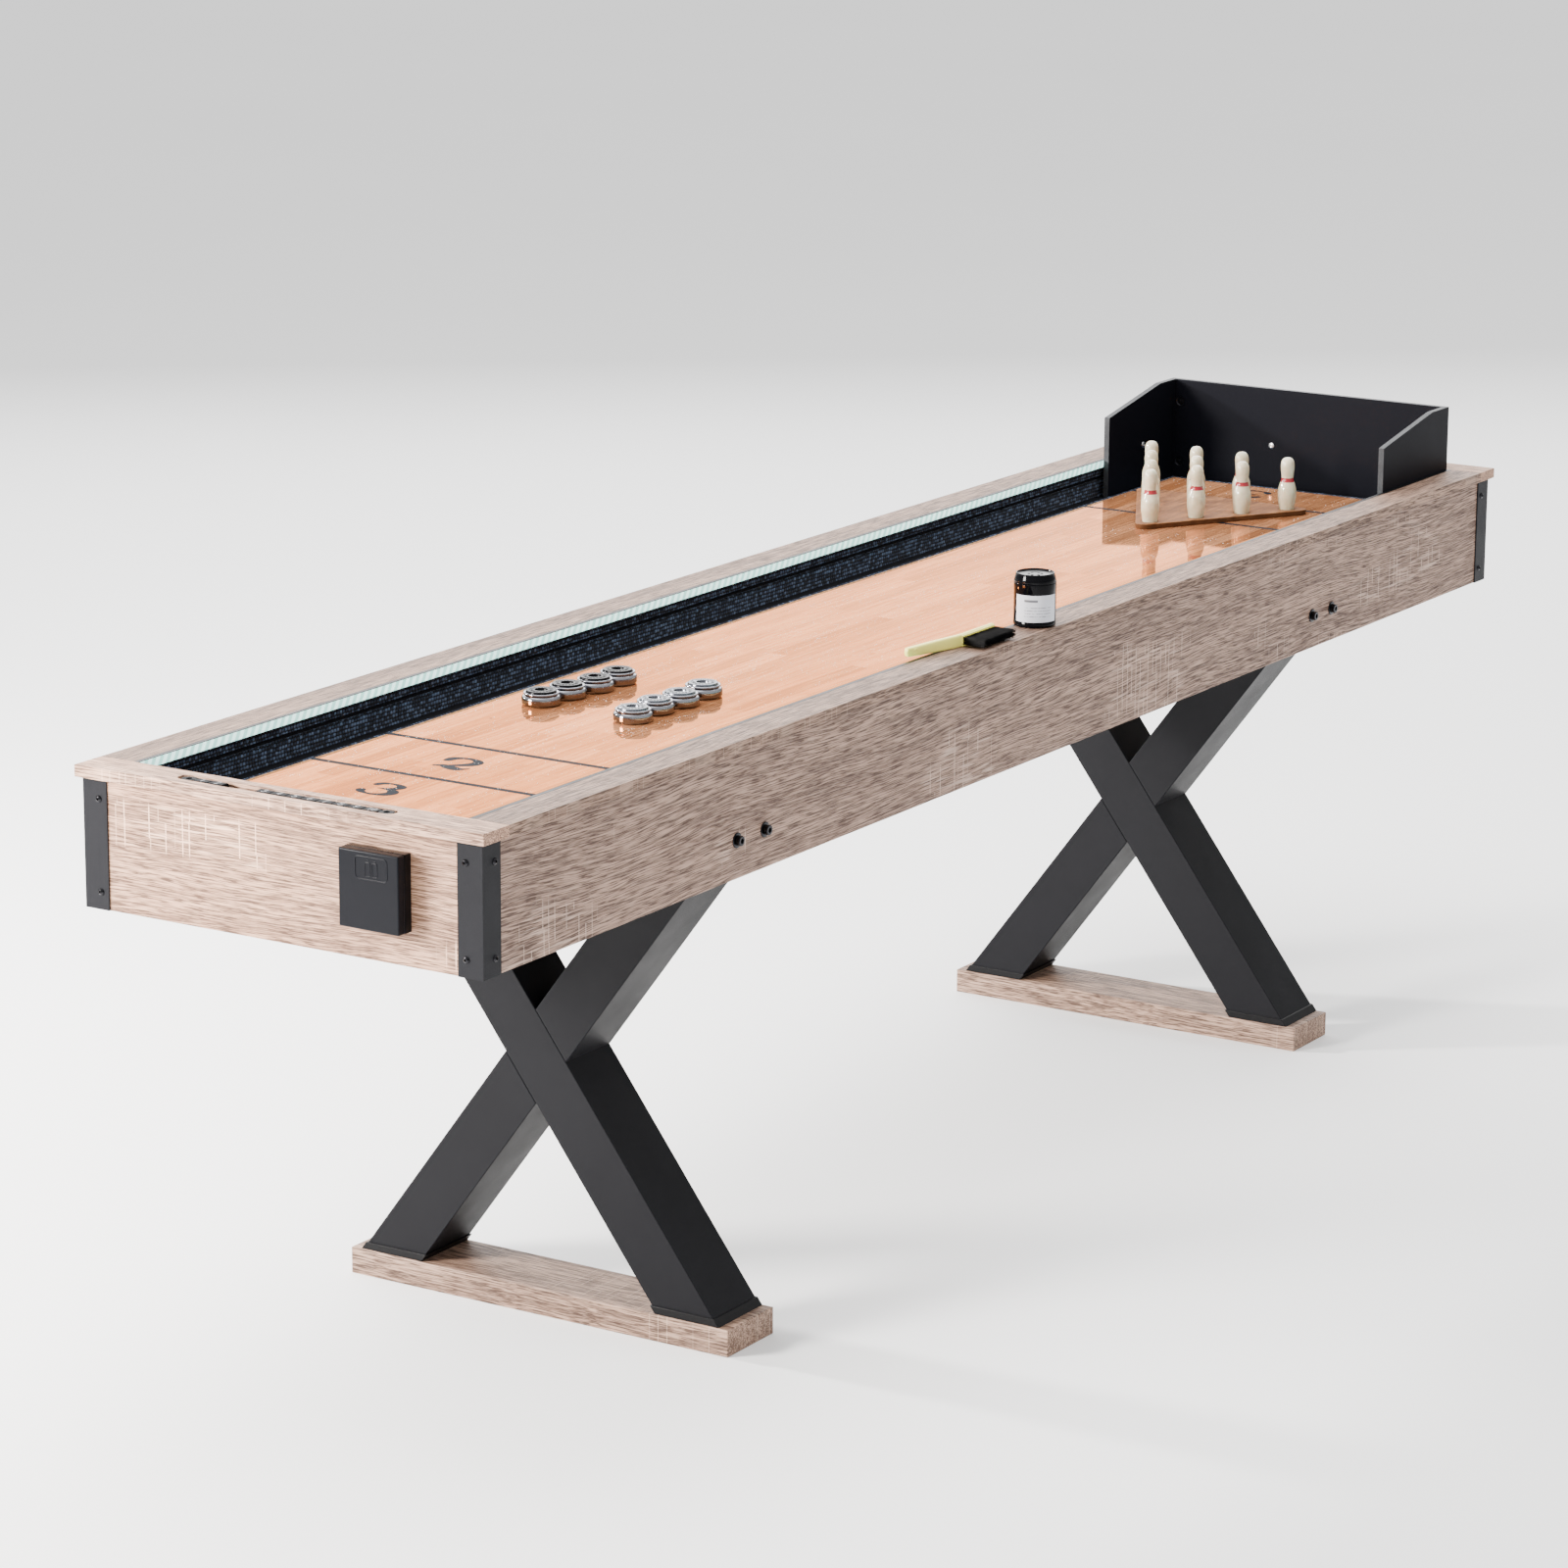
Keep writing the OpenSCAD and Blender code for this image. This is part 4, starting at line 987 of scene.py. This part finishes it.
def backstop_fittings():
    """Screw heads with a square recess, and dark cam locks set in the back panel."""
    left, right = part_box("backstop_left_panel"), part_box("backstop_right_panel")
    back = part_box("backstop_back_panel")
    bm = bmesh.new()
    plug_z = left[0].z + 0.068
    spots = [((left[1].x - 0.115, left[0].y, plug_z), AXIS_MINUS_Y), ((right[1].x - 0.115, right[1].y, plug_z), AXIS_Y),
             ((back[0].x, 0.060, plug_z), AXIS_MINUS_X)]
    for spot, turn in spots:
        place = Matrix.Translation(spot) @ turn @ Matrix.Rotation(0.4, 4, "Z")
        screw_head(bm, place, 0.0050, 0.0013, 0.0017, sides=4, depth=0.9)
    for face in bm.faces:
        face.material_index = 0
    for s in (-1, 1):
        for z in (0.026, 0.1245):
            spot = (back[0].x, s * (back[1].y - 0.0095), left[0].z + z)
            lathe(bm, [(0.0, 0.0002), (0.0018, 0.0002), (0.0022, -0.0008), (0.0060, -0.0008), (0.0064, -0.0001),
                       (0.0074, 0.0002), (0.0074, -0.004), (0.0, -0.004)], spot, 32, AXIS_MINUS_X, material=1)
    finish_piece(bm, "backstop_screws", ["zinc", "cam"], "backstop", replaces=["backstop_fittings"])


backstop_fittings()


# ---------------------------------------------------------------------------------------------------
# Bowling set
# ---------------------------------------------------------------------------------------------------

soften("pin_rack", ["rack"], 0.0014, 3, angle=50)


def pin(name):
    """A turned pin on the CAD pin's own axis."""
    low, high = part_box(name)
    centre = ((low.x + high.x) / 2, (low.y + high.y) / 2, low.z)
    rows = [(0.0098, 0.0), (0.0109, 0.0008), (0.0112, 0.002), (0.0124, 0.010), (0.0139, 0.020), (0.01425, 0.028),
            (0.0137, 0.036), (0.0117, 0.043), (0.00985, 0.048), (0.00925, 0.052), (0.0094, 0.056), (0.0100, 0.062),
            (0.0105, 0.068), (0.0105, 0.072), (0.0099, 0.0768), (0.0081, 0.0805), (0.0050, 0.0830), (0.0, 0.0840)]
    profile = [(max(p.x, 0.0), p.y) for p in spline([Vector(r) for r in rows], 4)]
    profile[-1] = (0.0, 0.0840)
    bm = bmesh.new()
    lathe(bm, [(0.0, 0.0)] + profile, centre, 40)
    finish_piece(bm, name + "_turned", ["pin"], name, replaces=[name], sharp=60)


for i in range(1, 11):
    pin(f"pin_{i}")


# ---------------------------------------------------------------------------------------------------
# Pucks
# ---------------------------------------------------------------------------------------------------

CAP_TICKS = 18


def puck(name, cap):
    """A chromed weight with a rounded waist, and a ringed cap set in its top."""
    low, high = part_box(name)
    centre = ((low.x + high.x) / 2, (low.y + high.y) / 2, low.z)
    r = (high.x - low.x) / 2
    bm = bmesh.new()
    weight = [(0.0, 0.0), (r - 0.0032, 0.0)] + arc(r - 0.0042, 0.0042, 0.0042, -76, 0, 8)
    weight += [(r, 0.0062)] + arc(r - 0.0052, 0.0085, 0.0052, 0, 68, 8)
    weight += [(r - 0.0036, 0.01365), (r - 0.0034, 0.0142)]
    lathe(bm, weight, centre, 72)
    lip = [(r - 0.0034, 0.0142)] + arc(r - 0.0036, 0.0156, 0.0014, -60, 100, 8) + [(r - 0.0052, 0.0165)]
    lathe(bm, lip, centre, 72)
    top = [(r - 0.0052, 0.0165), (r - 0.0060, 0.0180)] + arc(r - 0.0072, 0.0184, 0.0012, 0, 90, 5)
    top += [(r - 0.0098, 0.0195), (r - 0.0102, 0.0190), (r - 0.0108, 0.0190), (r - 0.0112, 0.0195)]
    top += [(0.0098, 0.0198)] + arc(0.0092, 0.0192, 0.0006, 80, 180, 4)
    top += [(0.0082, 0.0150), (0.0078, 0.0146), (0.0, 0.0146)]
    lathe(bm, top, centre, 72, material=1)
    # Raised ticks round the cap
    for k in range(CAP_TICKS):
        a = 2 * math.pi * (k + 0.5) / CAP_TICKS
        turn = Matrix.Translation(centre) @ Matrix.Rotation(a, 4, "Z")
        verts = box(bm, (0.0108, -0.0010, 0.0190), (0.0138, 0.0010, 0.02000))
        for v in verts:
            v.co = turn @ v.co
        for face in {f for v in verts for f in v.link_faces}:
            face.material_index = 1
    finish_piece(bm, name + "_turned", ["chrome", cap], name, replaces=[name], sharp=40)


for i in range(1, 5):
    puck(f"puck_black_{i}", "cap_black")
    puck(f"puck_silver_{i}", "cap_silver")


# ---------------------------------------------------------------------------------------------------
# Brush
# ---------------------------------------------------------------------------------------------------

TUFTS, TUFT_ROWS, HAIRS, HAIR_RADIUS = 17, 4, 22, 0.00022


def brush():
    """A moulded handle with an eye, and rows of bristle tufts."""
    low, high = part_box("brush_handle")
    hair_low, hair_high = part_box("brush_bristles")
    z0, h = low.z, high.z - low.z
    # Outline of the handle seen from above, with its half thickness at each station
    line = [(-0.1305, -0.2550, 0.0033), (-0.150, -0.2550, 0.0035), (-0.185, -0.2550, 0.0036), (-0.212, -0.2550, 0.0038),
            (-0.226, -0.2535, 0.0042), (-0.240, -0.2506, 0.0046), (-0.262, -0.2461, 0.0048), (-0.285, -0.2414, 0.0050),
            (-0.304, -0.2374, 0.0050), (-0.315, -0.2351, 0.0046), (-0.3198, -0.2341, 0.0030)]
    bm = bmesh.new()
    path = spline([Vector(p) for p in line], 5)
    rings = []
    for i, p in enumerate(path):
        t = i / (len(path) - 1)
        along = path[min(i + 1, len(path) - 1)] - path[max(i - 1, 0)]
        side = Vector((-along.y, along.x, 0)).normalized()
        thick = p.z
        tall = h / 2 * (1.0 if t < 0.42 else 0.86 + 0.14 * math.cos((t - 0.42) / 0.58 * math.pi))
        tall = tall if t < 0.94 else tall * math.sqrt(max(0.05, 1 - ((t - 0.94) / 0.065) ** 2))
        ring = []
        for k in range(24):
            a = 2 * math.pi * k / 24
            c, s = math.cos(a), math.sin(a)
            x = math.copysign(abs(c) ** 0.45, c) * thick
            z = math.copysign(abs(s) ** 0.45, s) * tall
            ring.append(bm.verts.new(Vector((p.x, p.y, z0 + h / 2)) + side * x + Vector((0, 0, z))))
        rings.append(ring)
    skin(bm, rings)
    bm.faces.new(rings[0])
    bm.faces.new(rings[-1])
    # Eye boss near the end of the handle
    along = Vector((-0.096, 0.020, 0)).normalized()
    eye = Vector((-0.3065, -0.2369, z0 + h / 2))
    across = Vector((-along.y, along.x, 0))
    turn = Matrix((along, (0, 0, 1), -across)).transposed().to_4x4()
    for sign in (1, -1):
        spin = turn if sign > 0 else turn @ Matrix.Rotation(math.pi, 4, "X")
        lathe(bm, [(0.0, 0.0035), (0.0021, 0.0035), (0.0025, 0.0052), (0.0040, 0.0056), (0.0046, 0.0050),
                   (0.0048, 0.0030)], eye, 28, spin)
    # Teeth along the back, one for each tuft
    pitch = (hair_high.x - hair_low.x) / TUFTS
    for i in range(TUFTS):
        x = hair_low.x + pitch * (i + 0.5)
        box(bm, (x - pitch * 0.33, hair_high.y - 0.0022, z0 + 0.0010), (x + pitch * 0.33, hair_high.y + 0.001,
                                                                          z0 + h - 0.0008))
    finish_piece(bm, "brush_handle_moulding", ["brush_plastic"], "brush", replaces=["brush_handle"], sharp=50)
    bm = bmesh.new()
    length = hair_high.y - hair_low.y
    for row in range(TUFT_ROWS):
        z_row = hair_low.z + 0.0016 + row * (hair_high.z - hair_low.z - 0.0032) / (TUFT_ROWS - 1)
        for i in range(TUFTS):
            x_root = hair_low.x + pitch * (i + 0.5)
            for k in range(HAIRS):
                a, r = rng.uniform(0, 2 * math.pi), math.sqrt(rng.random()) * 0.0017
                root = Vector((x_root + r * math.cos(a), hair_high.y + 0.001, z_row + r * math.sin(a) * 0.8))
                grow = length * rng.uniform(0.95, 1.0)
                tip = Vector((root.x + r * math.cos(a) * 0.9 + rng.uniform(-0.0012, 0.0012), hair_high.y - grow,
                              min(max(root.z + rng.uniform(-0.0016, 0.0016), z0 + 0.0006), hair_high.z + 0.001)))
                ends = []
                for point, scale in ((root, 1.0), ((root + tip) / 2 + Vector((rng.uniform(-0.0006, 0.0006), 0, 0)),
                                                   1.0), (tip, 0.55)):
                    ends.append([bm.verts.new(point + Vector((dx, 0, dz)) * HAIR_RADIUS * scale)
                                 for dx, dz in ((1, 0), (-0.5, 0.87), (-0.5, -0.87))])
                skin(bm, ends)
                bm.faces.new(ends[-1])
    finish_piece(bm, "brush_tufts", ["bristle"], "brush", replaces=["brush_bristles"], smooth=False)


brush()


# ---------------------------------------------------------------------------------------------------
# Wax can
# ---------------------------------------------------------------------------------------------------

def wax_can():
    """A glossy can with a paper label, and a recessed shaker lid."""
    z0 = CAN_LOW.z
    r = (CAN_HIGH.x - CAN_LOW.x) / 2
    top = CAN_HIGH.z - z0
    centre = (CAN_X, CAN_Y, z0)
    bm = bmesh.new()
    outside = [(0.0, 0.0010), (r - 0.006, 0.0010), (r - 0.0045, 0.0)] + arc(r - 0.0036, 0.0036, 0.0036, -80, 0, 7)
    outside += [(r, 0.006), (r - 0.0002, 0.0064), (r - 0.0002, top - 0.0105), (r, top - 0.010)]
    outside += [(r, top - 0.0012)] + arc(r - 0.0008, top - 0.0008, 0.0008, 0, 90, 3)
    outside += [(r - 0.002, top), (r - 0.002, 0.0035), (r - 0.004, 0.0022), (0.0, 0.0022)]
    lathe(bm, outside, centre, 96)
    finish_piece(bm, "wax_can_body", ["can"], "wax_can", replaces=["wax_can"], sharp=50)
    # Label, wrapped round the side that faces the player
    bm = bmesh.new()
    half = 1.10
    rows = [[bm.verts.new((CAN_X + rr * math.cos(a), CAN_Y + rr * math.sin(a), z0 + h))
             for a in [LABEL_MID - half + 2 * half * k / 48 for k in range(49)]]
            for h, rr in ((0.0085, r - 0.0001), (0.0085, r + 0.00012), (0.0455, r + 0.00012), (0.0455, r - 0.0001))]
    skin(bm, rows, wrap=False)
    finish_piece(bm, "wax_can_label", ["label"], "wax_can", slot="can_plastic")
    # Lid: shoulder, rim and a recessed top with shaker holes
    low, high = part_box("wax_can_lid")
    seat = CAN_HIGH.z - z0 + 0.00005
    rim = high.z - z0
    bm = bmesh.new()
    foot = low.z - z0
    lid = [(r - 0.0044, seat + 0.004), (r - 0.0044, foot), (r - 0.0024, foot), (r - 0.0024, seat)]
    lid += [(r - 0.0006, seat), (r, seat + 0.0006), (r, seat + 0.0016), (r - 0.0005, seat + 0.0020)]
    lid += [(r - 0.0004, seat + 0.0026), (r - 0.0011, seat + 0.0060), (r - 0.0022, seat + 0.0095), (r - 0.0026, rim - 0.0012)]
    lid += arc(r - 0.0036, rim - 0.0010, 0.0010, 0, 180, 6)
    lid += [(r - 0.0050, rim - 0.0022), (r - 0.0065, rim - 0.0030), (0.0125, rim - 0.0030)]
    lathe(bm, lid, centre, 96)
    # The recessed disc, with six holes
    inner = 0.0125
    edge = [bm.verts.new((CAN_X + inner * math.cos(2 * math.pi * i / 96), CAN_Y + inner * math.sin(
        2 * math.pi * i / 96), z0 + rim - 0.0030)) for i in range(96)]
    crown = bm.verts.new((CAN_X, CAN_Y, z0 + rim - 0.0024))
    for i in range(96):
        bm.faces.new((edge[i], edge[(i + 1) % 96], crown))
    for a in [math.radians(60 * k) for k in range(6)]:
        spot = (CAN_X + 0.0085 * math.cos(a), CAN_Y + 0.0085 * math.sin(a), z0 + rim - 0.0029)
        lathe(bm, [(0.0, -0.0006), (0.0012, -0.0006), (0.0013, 0.0004), (0.0019, 0.0004), (0.0022, 0.0)], spot, 20,
              material=1)
    bmesh.ops.remove_doubles(bm, verts=bm.verts, dist=1e-6)
    finish_piece(bm, "wax_can_lid_moulding", ["can", "channel"], "wax_can_lid", replaces=["wax_can_lid"], sharp=50)


wax_can()


# ---------------------------------------------------------------------------------------------------
# Wax granules on the playfield
# ---------------------------------------------------------------------------------------------------

GRAINS = 5600


def wax_grains():
    """Fine grains scattered in streaks, kept off the pucks, the rack and the playfield's edges."""
    low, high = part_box("playfield")
    top = high.z
    blocks = [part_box(n) for n in nodes if n.startswith("puck_")] + [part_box("pin_rack")]
    bm = bmesh.new()
    made = 0
    streaks = [(rng.uniform(low.x, high.x - 0.6), rng.uniform(-0.15, 0.15), rng.uniform(0.1, 0.5),
                rng.uniform(-0.25, 0.25)) for _ in range(60)]
    while made < GRAINS:
        if rng.random() < 0.62:
            sx, sy, length, lean = streaks[rng.randrange(len(streaks))]
            t = rng.uniform(0, 1)
            x = sx + t * length
            y = sy + t * length * lean + rng.gauss(0, 0.006)
        else:
            x, y = rng.uniform(low.x, high.x), rng.uniform(-0.162, 0.162)
        if not (low.x + 0.004 < x < high.x - 0.004 and abs(y) < 0.163):
            continue
        if any(a.x - 0.003 < x < b.x + 0.003 and a.y - 0.003 < y < b.y + 0.003 for a, b in blocks):
            continue
        size = 0.00030 + 0.00055 * rng.random() ** 2.5
        turn = Matrix.Translation((x, y, top + size * 0.20)) @ Matrix.Rotation(rng.uniform(0, 6.28), 4, "Z")
        points = [(1, 0, 0), (0, 1, 0), (-1, 0, 0), (0, -1, 0), (0, 0, 0.30), (0, 0, -0.20)]
        verts = [bm.verts.new(turn @ (Vector(p) * size * rng.uniform(0.75, 1.25))) for p in points[:4]]
        verts += [bm.verts.new(turn @ (Vector(p) * size)) for p in points[4:]]
        for i in range(4):
            bm.faces.new((verts[i], verts[(i + 1) % 4], verts[4]))
            bm.faces.new((verts[(i + 1) % 4], verts[i], verts[5]))
        made += 1
    finish_piece(bm, "wax_grains", ["wax"], "table", slot="playfield_wood", smooth=False)


wax_grains()


# ---------------------------------------------------------------------------------------------------
# Floor and lights
# ---------------------------------------------------------------------------------------------------

def studio():
    """A pale floor, a bright world and four soft lights."""
    floor_paint = Nodes("floor_paint")
    cloud = floor_paint.noise(floor_paint.point(*floor_paint.coords()), 0.7, 2.0)
    floor_paint.out(color=floor_paint.mix(cloud, (0.90, 0.90, 0.90), (0.93, 0.93, 0.93)), rough=0.8, specular=0.1)
    mesh = bpy.data.meshes.new("floor")
    s = 30.0
    mesh.from_pydata([(-s, -s, 0), (s, -s, 0), (s, s, 0), (-s, s, 0)], [], [(0, 1, 2, 3)])
    mesh.materials.append(floor_paint.material)
    floor = link_object("floor", mesh)

    world = bpy.data.worlds.new("studio")
    world.use_nodes = True
    tree = world.node_tree
    background = tree.nodes["Background"]
    up = tree.nodes.new("ShaderNodeSeparateXYZ")
    ramp = tree.nodes.new("ShaderNodeMapRange")
    tree.links.new(tree.nodes.new("ShaderNodeTexCoord").outputs["Generated"], up.inputs[0])
    tree.links.new(up.outputs["Z"], ramp.inputs["Value"])
    for key, value in (("From Min", 0.10), ("From Max", 0.60), ("To Min", 0.6), ("To Max", 1.5)):
        ramp.inputs[key].default_value = value
    tree.links.new(ramp.outputs[0], background.inputs["Strength"])
    background.inputs["Color"].default_value = (1.0, 1.0, 1.0, 1)
    bpy.context.scene.world = world

    def soft_light(name, spot, target, size, power, color=(1, 1, 1)):
        data = bpy.data.lights.new(name, "AREA")
        data.shape = "RECTANGLE"
        data.size, data.size_y = size
        data.energy = power
        data.color = color
        light = link_object(name, data)
        light.location = spot
        light.rotation_euler = (Vector(target) - Vector(spot)).to_track_quat("-Z", "Y").to_euler()

    soft_light("key", (-3.3, 1.95, 1.62), (-0.9, 0, 0.68), (0.95, 0.7), 400, (1.0, 0.96, 0.92))
    soft_light("side", (-0.9, 3.2, 1.92), (0.9, 0, 0.8), (0.22, 0.22), 260, (1.0, 0.97, 0.95))
    soft_light("top", (0.3, 0.6, 4.5), (0.1, 0, 0.6), (5.0, 2.5), 260)
    soft_light("far_panel", (4.2, 3.6, 3.3), (-0.6, -0.3, 0.8), (8.0, 3.6), 430)


studio()
